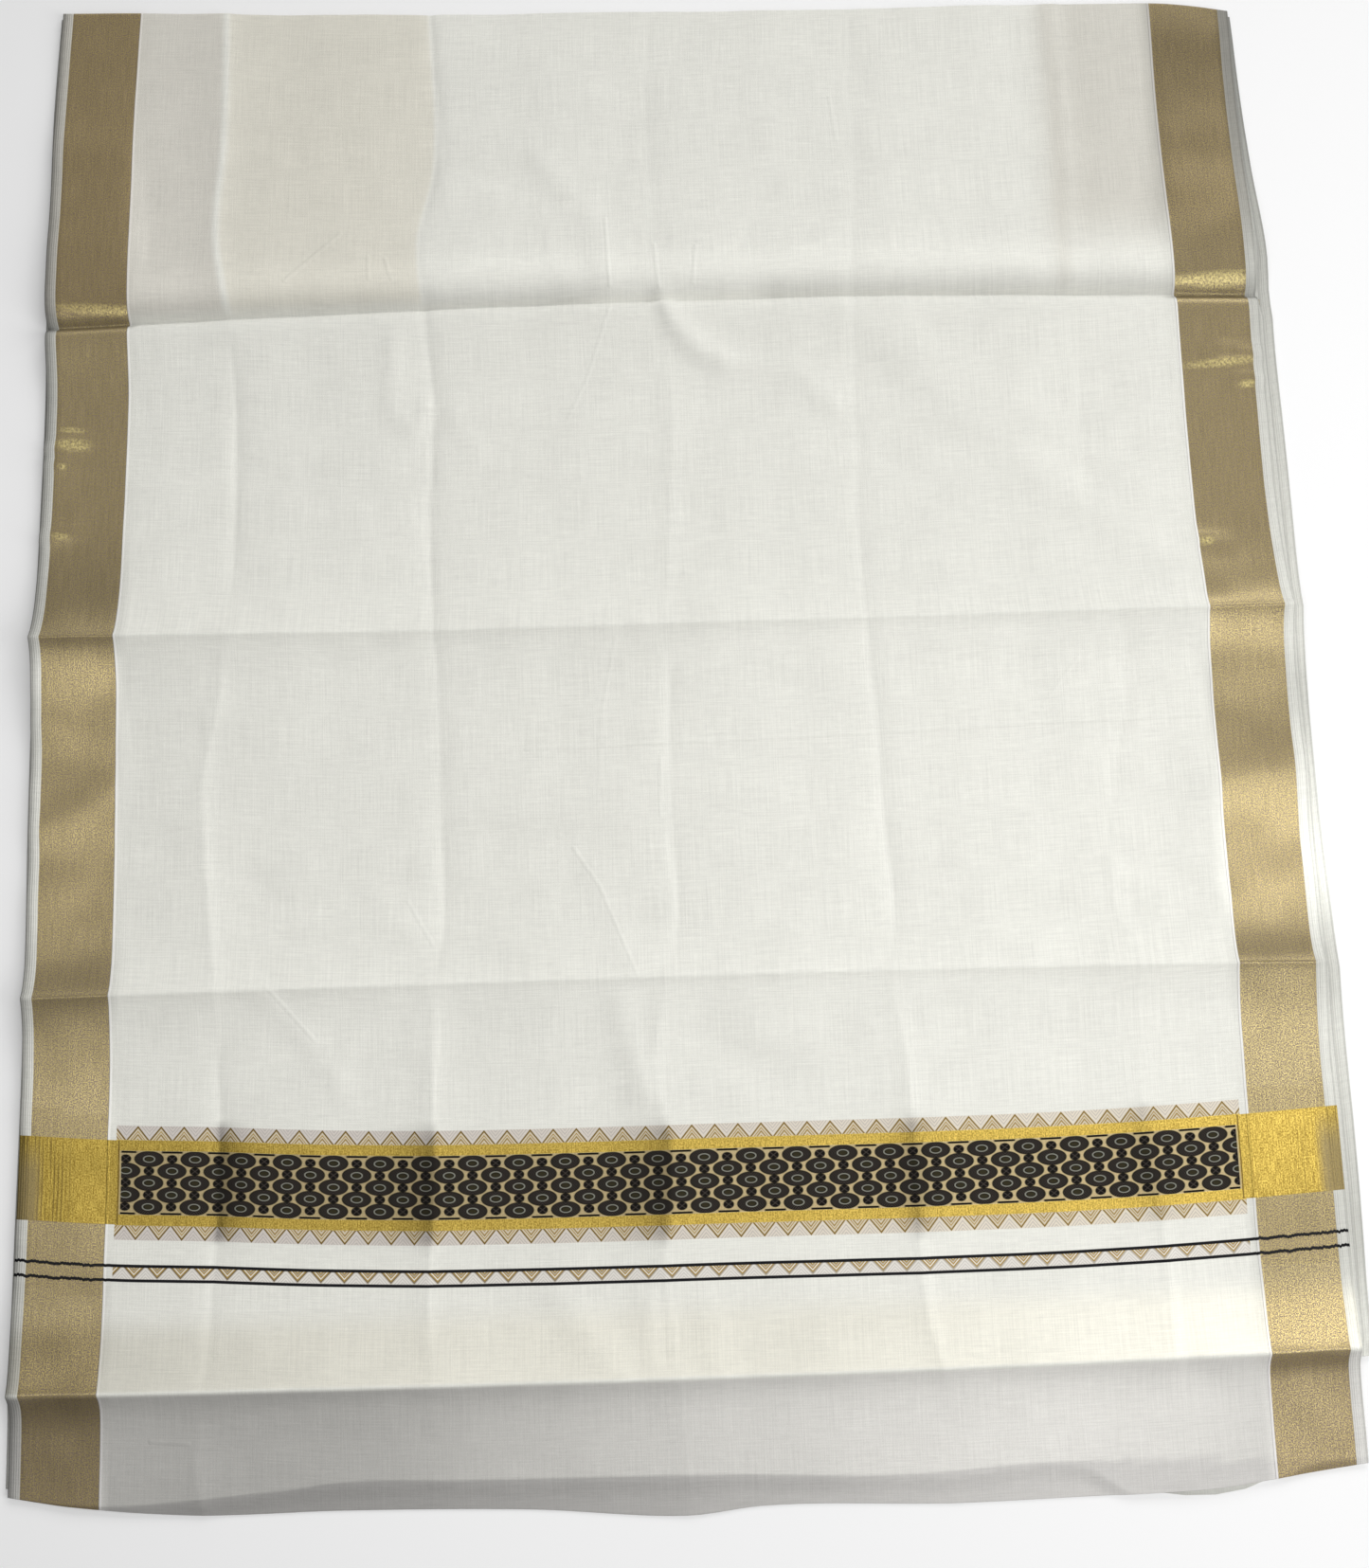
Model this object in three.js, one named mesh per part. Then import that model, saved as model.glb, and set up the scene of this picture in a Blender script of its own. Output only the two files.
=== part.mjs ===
// A cotton saree with gold thread borders, opened to its full width, folded into a stack of lengths and
// laid flat.
// Millimetres. +X runs across the cloth, +Y along it from the loose hemmed end to the fold, +Z is up.
// The origin is on the table, under the middle of the stack.
import * as THREE from "three";

// Cloth and stack
const wall = 1.2; // one length of cloth
const layerGap = 0.5; // between the top length and what lies under it
const fullStack = 6; // outer face of the top length where every length lies under it
const lowStack = 4; // the same between the fourth cross crease and the end of the lower lengths
const leastStack = 3.8; // the stack is never pressed thinner than this
const stackDrop = 16; // the top length comes down to the next height over this distance
const dropStart = 14; // and starts to this far past the end of what it leaves

// The fold that joins the top length to the next one
const foldRadius = 1.6;
const foldTail = 14; // how far the cloth runs back under itself
const foldSteps = 5;

// Edges of the folded lengths
const edgeStep = 1.1; // from one length down to the next
const outerDrop = 1.6 * edgeStep; // the outermost edge is rounded down to this far below the second length
const edgeRound = 0.8; // and draws in by this at the table
const riser = 0.2; // a step down takes this much width
const leastEdge = 0.5;
const leftSliver = 3; // the lower lengths stand out this far on the left

// Where the hem and the fold run, from selvedge to selvedge. lower is the end of the lower lengths.
const endLines = [
  { x: -612, hem: -698, lower: -692, fold: 734 },
  { x: -548, hem: -709, lower: -703, fold: 732 },
  { x: -434, hem: -720, lower: -704, fold: 726 },
  { x: -308, hem: -720, lower: -694, fold: 722 },
  { x: -144, hem: -724, lower: -696, fold: 717 },
  { x: -4, hem: -733, lower: -697, fold: 715 },
  { x: 60, hem: -727, lower: -698, fold: 713 },
  { x: 230, hem: -730, lower: -702, fold: 710 },
  { x: 340, hem: -728, lower: -698, fold: 709 },
  { x: 385, hem: -727, lower: -722, fold: 708 },
  { x: 458, hem: -724, lower: -730, fold: 707 },
  { x: 500, hem: -719, lower: -720, fold: 706 },
  { x: 530, hem: -715, lower: -704, fold: 704 },
  { x: 616, hem: -704, lower: -698, fold: 690 },
];

// The selvedges of the top length. second and third are how far the next lengths stand out past it on the
// right.
const sideLines = [
  { y: -745, left: -600, right: 589, second: 4, third: 9 },
  { y: -614, left: -601, right: 589, second: 5, third: 12 },
  { y: -470, left: -601, right: 590, second: 6, third: 15 },
  { y: -268, left: -600, right: 591, second: 4, third: 14 },
  { y: -100, left: -603, right: 592, second: 4, third: 10 },
  { y: 66, left: -603, right: 591, second: 4, third: 12 },
  { y: 190, left: -602, right: 590, second: 6, third: 15 },
  { y: 320, left: -601, right: 590, second: 5, third: 14 },
  { y: 430, left: -603, right: 589, second: 5, third: 14 },
  { y: 520, left: -603, right: 588, second: 3, third: 9 },
  { y: 620, left: -603, right: 588, second: 2, third: 5 },
  { y: 745, left: -598, right: 589, second: 1, third: 2 },
];

// Cross creases, pressed in when the saree was folded small. left, middle and right are where the line runs.
const crossCreases = [
  { left: -614, middle: -617, right: -610 },
  { left: -268, middle: -266, right: -272 },
  { left: 70, middle: 66, right: 63 },
  { left: 387, middle: 394.5, right: 380.5 },
];

// How far each cross crease stands up (or dips, if negative) at the left and the right selvedge, how fast it
// dies away above and below its line, and the share of the height that is left in the middle of the cloth.
const creaseShapes = [
  { leftHeight: 10.5, rightHeight: 9, above: 44, below: 12, middleShare: 0.9 },
  { leftHeight: 13, rightHeight: 10, above: 36, below: 40, middleShare: 0.62 },
  { leftHeight: 19, rightHeight: 18.5, above: 40, below: 44, middleShare: 0.58 },
  { leftHeight: -11, rightHeight: -11, above: 12, below: 8, middleShare: 0.8 },
];
const clothCentre = -6;
const middleReach = 220; // the middle's share holds this far from the centre
const sideReach = 480; // and the full height from here out
const swell = { y: 412, height: 10, reach: 60 }; // the cloth rises on both sides of the first crease
const creaseRound = 3;

// Lengthwise creases, from folding the width into six. height alternates with the way each was folded.
const lengthCreases = [
  { x: -422, height: 2.4, reach: 22 },
  { x: -226, height: -2, reach: 20 },
  { x: -12, height: 2, reach: 26 },
  { x: 200, height: -2, reach: 22 },
  { x: 413, height: 1.8, reach: 30 },
];

// Low folds that run over the cloth: a line from one point to another, its height and its reach to each side.
const softFolds = [
  { fromX: 20, fromY: 390, toX: 130, toY: 320, height: 2.6, reach: 24 },
  { fromX: -90, fromY: -130, toX: -40, toY: -262, height: 2.2, reach: 20 },
  { fromX: -24, fromY: -276, toX: -30, toY: -400, height: 2.4, reach: 22 },
  { fromX: -225, fromY: 60, toX: -200, toY: -60, height: 2.2, reach: 26 },
  { fromX: 330, fromY: 190, toX: 500, toY: 105, height: 2.4, reach: 26 },
  { fromX: -310, fromY: 480, toX: -350, toY: 410, height: 2, reach: 22 },
  { fromX: -434, fromY: -640, toX: -434, toY: -722, height: 2.6, reach: 26 },
  { fromX: -2, fromY: -660, toX: 0, toY: -735, height: 2.8, reach: 30 },
];

const smooth = (t) => {
  const s = Math.min(1, Math.max(0, t));
  return s * s * (3 - 2 * s);
};
const mix = (a, b, t) => a + (b - a) * t;

// A smooth curve through the rows of a table: value over place. The slope at a row is the mean of the steps
// on its two sides.
function curveThrough(rows, place, value) {
  const steps = rows.slice(1).map((row, i) => (row[value] - rows[i][value]) / (row[place] - rows[i][place]));
  const slopes = rows.map((_, i) => {
    const before = steps[Math.max(i - 1, 0)];
    const after = steps[Math.min(i, steps.length - 1)];
    return (before + after) / 2;
  });
  return (at) => {
    const last = rows.length - 2;
    let i = rows.findIndex((row) => row[place] > at) - 1;
    if (i < 0) i = at <= rows[0][place] ? 0 : last;
    const span = rows[i + 1][place] - rows[i][place];
    const t = Math.min(1, Math.max(0, (at - rows[i][place]) / span));
    const bend = t * (1 - t) * span;
    return (
      mix(rows[i][value], rows[i + 1][value], t * t * (3 - 2 * t)) +
      bend * (slopes[i] * (1 - t) - slopes[i + 1] * t)
    );
  };
}

const hemAt = curveThrough(endLines, "x", "hem");
const lowerAt = curveThrough(endLines, "x", "lower");
const foldAt = curveThrough(endLines, "x", "fold");
const leftAt = curveThrough(sideLines, "y", "left");
const rightAt = curveThrough(sideLines, "y", "right");
const secondAt = curveThrough(sideLines, "y", "second");
const thirdAt = curveThrough(sideLines, "y", "third");

// Where a cross crease runs: a shallow bow through its left, middle and right places.
const halfWidth = 600;
function creaseLine(crease, x) {
  const t = x / halfWidth;
  const side = t < 0 ? crease.left : crease.right;
  return mix(crease.middle, side, t * t);
}

// A crease's form across its line: 1 on the line, dying away over reach, round on top.
const creaseForm = (distance, reach) =>
  Math.exp((creaseRound - Math.hypot(distance, creaseRound)) / reach);

const hill = (distance, reach) => Math.exp(-((distance / reach) ** 2));

function distanceToLine(fold, x, y) {
  const alongX = fold.toX - fold.fromX;
  const alongY = fold.toY - fold.fromY;
  const share = ((x - fold.fromX) * alongX + (y - fold.fromY) * alongY) / (alongX ** 2 + alongY ** 2);
  const t = Math.min(1, Math.max(0, share));
  return Math.hypot(x - fold.fromX - t * alongX, y - fold.fromY - t * alongY);
}

// Height of the top length's outer face over the table: the lengths under it, the creases and the soft folds.
function clothHeight(x, y) {
  const fourth = creaseLine(crossCreases[0], x);
  const inner = smooth((y - fourth + stackDrop) / stackDrop);
  const outer = smooth((y - lowerAt(x) + dropStart + stackDrop) / stackDrop);
  const stack = wall + (lowStack - wall) * outer + (fullStack - lowStack) * inner;
  const fullness = (stack - wall) / (fullStack - wall);
  const nearSide = smooth((Math.abs(x - clothCentre) - middleReach) / (sideReach - middleReach));
  let relief = swell.height * hill(y - swell.y, swell.reach);
  crossCreases.forEach((crease, i) => {
    const shape = creaseShapes[i];
    const distance = y - creaseLine(crease, x);
    const height = mix(shape.leftHeight, shape.rightHeight, (x + halfWidth) / (2 * halfWidth));
    const share = mix(shape.middleShare, 1, nearSide);
    relief += share * height * creaseForm(distance, distance > 0 ? shape.above : shape.below);
  });
  for (const crease of lengthCreases)
    relief += fullness * crease.height * creaseForm(x - crease.x, crease.reach);
  for (const fold of softFolds) relief += fold.height * hill(distanceToLine(fold, x, y), fold.reach);
  const lowFullness = (lowStack - wall) / (fullStack - wall);
  return Math.max(stack + relief, mix(wall, leastStack, Math.min(fullness / lowFullness, 1)));
}

// Rows of the grid, from the hem to the fold. Each is a line over x, so that rows run along the creases.
const rowSpace = 3; // the least distance between rows near the hem
const foldedRows = [0.38, 0.68]; // shares of the way from the first crease to the fold
// Distances of the rows from each cross crease
const creaseRows = [
  [-62, -30, -14, -6, 0, 7, 22, 60],
  [-120, -62, -28, -9, 0, 9, 28, 70],
  [-130, -68, -28, -9, 0, 9, 28, 70],
  [-90, -48, -26, -12, 0, 12, 26, 52],
];
const planarRows = [
  (x) => hemAt(x),
  (x) => Math.max(lowerAt(x) - dropStart - stackDrop, hemAt(x) + rowSpace),
  (x) => Math.max(lowerAt(x) - dropStart - stackDrop / 2, hemAt(x) + 2 * rowSpace),
  (x) => Math.max(lowerAt(x) - dropStart, hemAt(x) + 3 * rowSpace),
  ...crossCreases.flatMap((crease, i) =>
    creaseRows[i].map((offset) => (x) => creaseLine(crease, x) + offset),
  ),
  ...foldedRows.map((share) => (x) => mix(creaseLine(crossCreases[3], x), foldAt(x), share)),
  (x) => foldAt(x) - foldRadius - foldTail - layerGap,
  (x) => foldAt(x) - foldRadius,
];
const sharedRowsStart = 4; // from here up the folded lengths use the same rows
const sharedRowsEnd = planarRows.length - 1;

// Columns of the grid, from -1 at the left selvedge to 1 at the right one: two between each pair of
// lengthwise creases, and three at each crease.
const edgeColumn = 0.965; // beside the selvedges
const betweenColumns = [0.36, 0.68];
const creaseColumn = 15 / halfWidth;
const creasePlaces = lengthCreases.map((crease) => crease.x / halfWidth);
const columnPlaces = [-1, -edgeColumn];
creasePlaces.forEach((place, i) => {
  const before = i === 0 ? -edgeColumn : creasePlaces[i - 1];
  columnPlaces.push(...betweenColumns.map((share) => mix(before, place, share)));
  columnPlaces.push(place - creaseColumn, place, place + creaseColumn);
});
columnPlaces.push(...betweenColumns.map((share) => mix(creasePlaces.at(-1), edgeColumn, share)));
columnPlaces.push(edgeColumn, 1);
const columnX = (place, y) => mix(leftAt(y), rightAt(y), (place + 1) / 2);

// A grid of points turned into triangles, facing the way that the grid's rows and columns turn.
function gridFaces(rows, columns, start, turned) {
  const faces = [];
  for (let i = 0; i < rows - 1; i++)
    for (let j = 0; j < columns - 1; j++) {
      const a = start + i * columns + j;
      const b = a + 1;
      const c = a + columns + 1;
      const d = a + columns;
      faces.push(...(turned ? [a, c, b, a, d, c] : [a, b, c, a, c, d]));
    }
  return faces;
}

// The grid's border, once round, anticlockwise seen from the side that the grid faces.
function gridBorder(rows, columns) {
  const border = [];
  for (let j = 0; j < columns - 1; j++) border.push(j);
  for (let i = 0; i < rows - 1; i++) border.push(i * columns + columns - 1);
  for (let j = columns - 1; j > 0; j--) border.push((rows - 1) * columns + j);
  for (let i = rows - 1; i > 0; i--) border.push(i * columns);
  return border;
}

function geometryFrom(points, faces) {
  const geometry = new THREE.BufferGeometry();
  const numbers = points.flatMap((p) => [p.x, p.y, p.z]);
  geometry.setAttribute("position", new THREE.Float32BufferAttribute(numbers, 3));
  geometry.setIndex(faces);
  geometry.computeVertexNormals();
  return geometry;
}

// The top length: its outer face as a grid, the same grid one wall further in, and a rim between the two.
function topLengthGeometry() {
  const outer = [];
  const inner = [];
  const addPoint = (x, y, z, angle) => {
    outer.push(new THREE.Vector3(x, y, z));
    inner.push(new THREE.Vector3(x, y - wall * Math.sin(angle), z - wall * Math.cos(angle)));
  };
  let rows = 0;
  for (const row of planarRows) {
    for (const place of columnPlaces) {
      const x = columnX(place, row(place * halfWidth));
      const y = row(x);
      addPoint(x, y, clothHeight(x, y), 0);
    }
    rows++;
  }
  const afterFold = [];
  for (let i = 1; i <= foldSteps; i++) afterFold.push({ angle: (Math.PI * i) / foldSteps, tail: 0 });
  afterFold.push({ angle: Math.PI, tail: foldTail });
  for (const { angle, tail } of afterFold) {
    for (const place of columnPlaces) {
      const x = columnX(place, foldAt(place * halfWidth) - foldRadius);
      const start = foldAt(x) - foldRadius;
      const centre = clothHeight(x, start) - foldRadius;
      addPoint(x, start + foldRadius * Math.sin(angle) - tail, centre + foldRadius * Math.cos(angle), angle);
    }
    rows++;
  }
  const columns = columnPlaces.length;
  const count = outer.length;
  const faces = [...gridFaces(rows, columns, 0, false), ...gridFaces(rows, columns, count, true)];
  const border = gridBorder(rows, columns);
  border.forEach((a, i) => {
    const b = border[(i + 1) % border.length];
    faces.push(a, a + count, b + count, a, b + count, b);
  });
  return geometryFrom([...outer, ...inner], faces);
}

// The folded lengths: one slab that follows the top length, stepped down at its edges, flat underneath.
function foldedLengthsGeometry() {
  const under = wall + layerGap;
  const edgeColumns = 7; // three on the left and four on the right
  const points = [];
  // A row of the slab: x and height at each column, with the sliver on the left and two steps on the right.
  const addPoint = (row, x, heightAt, drop) => {
    const y = row(x);
    points.push(new THREE.Vector3(x, y, Math.max(heightAt(x, y) - drop, leastEdge)));
  };
  const addRow = (row, heightAt) => {
    const left = leftAt(row(-halfWidth));
    addPoint(row, left - leftSliver, heightAt, outerDrop);
    addPoint(row, left - leftSliver + edgeRound, heightAt, edgeStep);
    addPoint(row, left - riser, heightAt, edgeStep);
    for (const place of columnPlaces) addPoint(row, columnX(place, row(place * halfWidth)), heightAt, 0);
    const right = rightAt(row(halfWidth));
    const second = right + secondAt(row(halfWidth));
    const third = right + thirdAt(row(halfWidth));
    addPoint(row, second, heightAt, 0);
    addPoint(row, second + riser, heightAt, edgeStep);
    addPoint(row, third, heightAt, edgeStep);
    addPoint(row, third + edgeRound, heightAt, outerDrop);
  };
  const slabHeight = (x, y) => clothHeight(x, y) - under;
  const lowerFoldHeight = (x, y) => clothHeight(x, y) - 2 * foldRadius - layerGap;
  addRow((x) => lowerAt(x), (x, y) => slabHeight(x, y) - edgeStep / 2);
  addRow((x) => lowerAt(x) + 2 * edgeRound, slabHeight);
  for (const row of planarRows.slice(sharedRowsStart, sharedRowsEnd)) addRow(row, slabHeight);
  addRow((x) => foldAt(x) - foldRadius - foldTail - layerGap + riser, lowerFoldHeight);
  addRow((x) => foldAt(x) - foldRadius - edgeRound, lowerFoldHeight);
  addRow((x) => foldAt(x) - foldRadius, (x, y) => lowerFoldHeight(x, y) - edgeRound);

  const columns = columnPlaces.length + edgeColumns;
  const rows = points.length / columns;
  const faces = gridFaces(rows, columns, 0, false);
  const border = gridBorder(rows, columns);
  const base = points.length;
  for (const index of border) {
    const p = points[index];
    const onSide = index % columns === 0 || index % columns === columns - 1;
    const onEnd = index < columns || index >= (rows - 1) * columns;
    const x = onSide ? p.x - Math.sign(p.x) * edgeRound : p.x;
    const y = onEnd ? p.y - Math.sign(p.y) * edgeRound : p.y;
    points.push(new THREE.Vector3(x, y, 0));
  }
  border.forEach((a, i) => {
    const next = (i + 1) % border.length;
    faces.push(a, base + i, base + next, a, base + next, border[next]);
  });
  const centre = points.push(new THREE.Vector3()) - 1;
  border.forEach((_, i) => faces.push(base + i, centre, base + ((i + 1) % border.length)));
  return geometryFrom(points, faces);
}

const clothMaterial = () =>
  new THREE.MeshStandardMaterial({ color: 0xe9e6dc, roughness: 0.9, metalness: 0, side: THREE.DoubleSide });

function namedMesh(name, geometry, material) {
  const mesh = new THREE.Mesh(geometry, material);
  mesh.name = name;
  return mesh;
}

const saree = new THREE.Group();
saree.add(namedMesh("top_length", topLengthGeometry(), clothMaterial()));
saree.add(namedMesh("folded_lengths", foldedLengthsGeometry(), clothMaterial()));

export default saree;
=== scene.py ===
import math
import bpy
import numpy as np
from mathutils import Matrix, Vector


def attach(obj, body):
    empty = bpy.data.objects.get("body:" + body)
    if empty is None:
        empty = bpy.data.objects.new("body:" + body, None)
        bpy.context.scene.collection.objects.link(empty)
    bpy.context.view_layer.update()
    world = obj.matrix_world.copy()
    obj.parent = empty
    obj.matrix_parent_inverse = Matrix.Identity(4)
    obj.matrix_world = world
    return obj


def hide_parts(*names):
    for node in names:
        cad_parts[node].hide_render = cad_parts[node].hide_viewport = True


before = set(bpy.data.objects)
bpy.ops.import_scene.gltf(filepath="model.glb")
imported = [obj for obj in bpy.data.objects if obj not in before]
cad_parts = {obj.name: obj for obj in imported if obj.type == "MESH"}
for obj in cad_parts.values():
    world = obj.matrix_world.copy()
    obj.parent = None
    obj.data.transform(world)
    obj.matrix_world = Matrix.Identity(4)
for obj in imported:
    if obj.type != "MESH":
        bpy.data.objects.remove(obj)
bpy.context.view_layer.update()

# A cotton saree with gold thread borders, folded into lengths and laid flat.
# Tables and sizes are in millimetres in the part's frame. Meshes are in metres.
mm = 0.001


def tableOf(columns, *rows):
    # A table as a list of rows, each read by the names of its columns
    return [dict(zip(columns.split(), row)) for row in rows]


# The stack: how thick it is and how its folds turn
stack = dict(
    wall=1.2, fullStack=6.0, lowStack=4.0, leastStack=3.8, stackDrop=16.0, dropStart=4.0,
    foldRadius=1.6, foldTail=14.0, halfWidth=600.0, clothThickness=0.45,
)

# Where the hem, the end of the lower lengths and the fold run, from selvedge to selvedge
endLines = dict(
    x=[-612, -548, -434, -308, -144, -4, 60, 230, 340, 385, 458, 500, 530, 616],
    hem=[-698, -709, -720, -720, -724, -733, -727, -730, -728, -727, -724, -719, -715, -704],
    lower=[-692, -703, -704, -694, -696, -697, -698, -702, -698, -722, -730, -720, -704, -698],
    fold=[734, 732, 726, 722, 717, 715, 713, 710, 709, 708, 707, 706, 704, 690],
)

# The selvedges of the top length, and how far the next two stand out past it on the right
sideLines = dict(
    y=[-745, -614, -470, -268, -100, 66, 190, 320, 430, 520, 620, 745],
    left=[-600, -601, -601, -600, -603, -603, -602, -601, -603, -603, -603, -598],
    right=[589, 589, 590, 591, 592, 591, 590, 590, 589, 588, 588, 589],
    second=[4, 5, 6, 4, 4, 4, 6, 5, 5, 3, 2, 1],
    third=[9, 12, 15, 14, 10, 12, 15, 14, 14, 9, 5, 2],
)

# Where the single cloth under the last lower length starts to look darker
shadeLine = dict(
    x=[-612, -518, -410, -354, -304, -204, 22, 188, 305, 508, 616],
    y=[-697, -708, -703, -699, -694, -696, -698, -703, -697, -701, -700],
)

# Painted light and shade in the cloth's colour: how light the cloth looks between the creases and under the
# band, lighter towards the right, and the painted shade over few lengths and where it lies alone
layerLightShade = dict(
    x=[-612, -300, -130, 130, 350, 616],
    field=[0.98, 1.01, 1.00, 1.04, 1.05, 1.01],
    warm=[0.73, 0.94, 0.99, 1.02, 1.18, 1.34],
    few=[0.57, 0.57, 0.71, 0.89, 0.97, 0.72],
    single=[0.42, 0.42, 0.49, 0.66, 0.78, 0.70],
)

# Painted light and shade on the gold borders and the white selvedges outside them along the cloth: lighter
# where the gold catches the light, darker where it lies in shade. The second table is painted shade on the
# selvedges.
borderLightShade = dict(
    y=[-726, -600, -520, -440, -330, -268, -190, -100, -46, 0, 40, 66, 200, 330, 400, 500, 590, 734],
    left=[
        1.38, 0.90, 0.90, 1.00, 1.05, 0.80, 1.00, 1.02, 0.96,
        1.02, 1.16, 0.84, 0.94, 0.95, 0.96, 0.98, 1.00, 0.98,
    ],
    right=[
        1.26, 0.98, 0.74, 0.82, 0.94, 0.82, 1.34, 1.12, 0.90,
        0.86, 1.04, 0.98, 0.97, 0.95, 0.90, 0.82, 0.70, 0.62,
    ],
)
selvedgePaintedShade = dict(
    y=[-726, -480, -300, -190, 60, 320, 500, 620, 734],
    left=[0.74, 0.80, 0.90, 0.96, 0.92, 0.62, 0.66, 0.74, 0.80],
    right=[0.92, 0.97, 0.97, 0.97, 0.90, 0.76, 0.66, 0.62, 0.62],
)

# Painted shade beside the lengthwise creases in the woven band: its reach on each side and how dark
bandShade = dict(
    left=[3, 22, 26, 9, 11],
    right=[13, 3, 3, 9, 9],
    depth=[0.55, 0.45, 0.42, 0.42, 0.25],
)

# Cross creases: where each runs, how far it stands up (or dips) and how fast that dies away on each side.
# middleShare is what is left of the height in the middle, and line is the sharp middle of the crease.
crossCreases = tableOf(
    "left middle right leftHeight rightHeight above below middleShare line lineReach",
    (-614, -617, -610, 10.5, 9, 44, 11, 0.9, 0.9, 4),
    (-268, -266, -272, 13, 10, 36, 40, 0.62, 1.3, 4),
    (70, 66, 63, 19, 18.5, 40, 44, 0.58, 1.6, 4.5),
    (388.5, 397, 383.5, -11, -11, 11, 4, 0.8, -0.4, 3),
)
# The cloth rises on both sides of the last crease, and on the borders it sinks again more slowly
swell = dict(y=412, height=10, reach=60, borderReach=130)
crestRound = 1.0

# Lengthwise creases, from folding the width into six. left and right are the reach on each side.
lengthCreases = [dict(
    x=[-430, -431, -437, -425, -417, -415, -418, -423, -439, -433, -425, -422, -418, -423, -427, -436, -429],
    y=[734, 583, 480, 408, 330, 150, 75, 20, -66, -182, -262, -330, -439, -520, -600, -675, -722],
    height=[2.0, 2.3, 2.4, 1.2, -1.3, -1.6, 0.3, 1.8, 2.2, 2.6, 1.6, -1.2, -2.4, -2.0, -1.2, 2.2, 2.8],
    left=[24, 24, 24, 14, 7, 7, 14, 24, 26, 26, 16, 7, 8, 8, 8, 20, 24],
    right=[8, 8, 8, 8, 7, 7, 8, 8, 8, 8, 8, 9, 16, 12, 8, 8, 12],
), dict(
    x=[-224, -220, -235, -231, -223, -226, -223, -219, -217, -216, -224, -226, -227, -231, -228, -238, -241],
    y=[734, 545, 473, 402, 310, 168, 78, 18, -118, -224, -267, -330, -445, -567, -612, -645, -722],
    height=[-2.0, -2.2, -0.8, -1.5, -1.5, -1.8, -1.8, -1.2, -1.8, -1.5, 0.3, 2.4, 2.8, 1.8, 0.8, -0.8, -0.9],
    left=[14, 14, 10, 8, 7, 7, 8, 9, 9, 9, 12, 26, 30, 18, 10, 7, 7],
    right=[5, 5, 5, 6, 5, 5, 5, 9, 9, 9, 7, 6, 6, 6, 6, 6, 6],
), dict(
    x=[-1, -6, 3, 10, 0, 0, -2, -2, -12, -24, -14, -20, -12, -8, -6],
    y=[734, 568, 414, 266, 85, 29, -107, -240, -272, -342, -420, -525, -610, -660, -726],
    height=[-0.8, -0.9, -0.6, 1.4, 0.9, -0.8, -0.9, -0.8, 0.8, 2.6, 2.4, 1.8, 1.0, 1.6, 2.8],
    left=[10, 10, 12, 20, 16, 6, 6, 6, 18, 26, 20, 16, 16, 24, 28],
    right=[10, 10, 12, 10, 8, 6, 6, 6, 10, 14, 9, 8, 10, 20, 26],
), dict(
    x=[203, 199, 192, 190, 187, 188, 194, 196, 201, 195, 205, 206, 209, 213, 222, 226, 225],
    y=[734, 509, 418, 309, 154, 69, -32, -131, -211, -272, -349, -440, -532, -581, -618, -661, -722],
    height=[-0.6, -0.8, -1.2, -0.9, -1.2, -1.4, -1.8, -2.3, -1.8, 0.5, 2.3, 2.4, 2.0, 2.0, 1.0, -0.6, 0.8],
    left=[9, 9, 9, 8, 7, 7, 8, 9, 8, 14, 20, 16, 12, 12, 10, 7, 12],
    right=[9, 9, 8, 8, 7, 7, 9, 11, 9, 8, 8, 7, 5, 5, 6, 7, 12],
), dict(
    x=[411, 413, 409, 409, 409, 424, 431, 410, 404, 420, 417, 415, 427, 428, 441, 436],
    y=[734, 553, 410, 321, 166, 71, 15, -121, -209, -264, -356, -423, -523, -615, -652, -722],
    height=[1.8, 1.7, 0.6, -0.6, -0.8, -0.6, -0.9, -0.5, 1.2, 0.4, 0.6, 1.8, 1.6, 1.6, -1.2, 0.8],
    left=[24, 24, 14, 8, 8, 8, 7, 8, 14, 10, 10, 13, 14, 14, 10, 12],
    right=[6, 6, 8, 8, 8, 8, 7, 8, 8, 8, 8, 6, 4, 4, 10, 12],
)]

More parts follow.
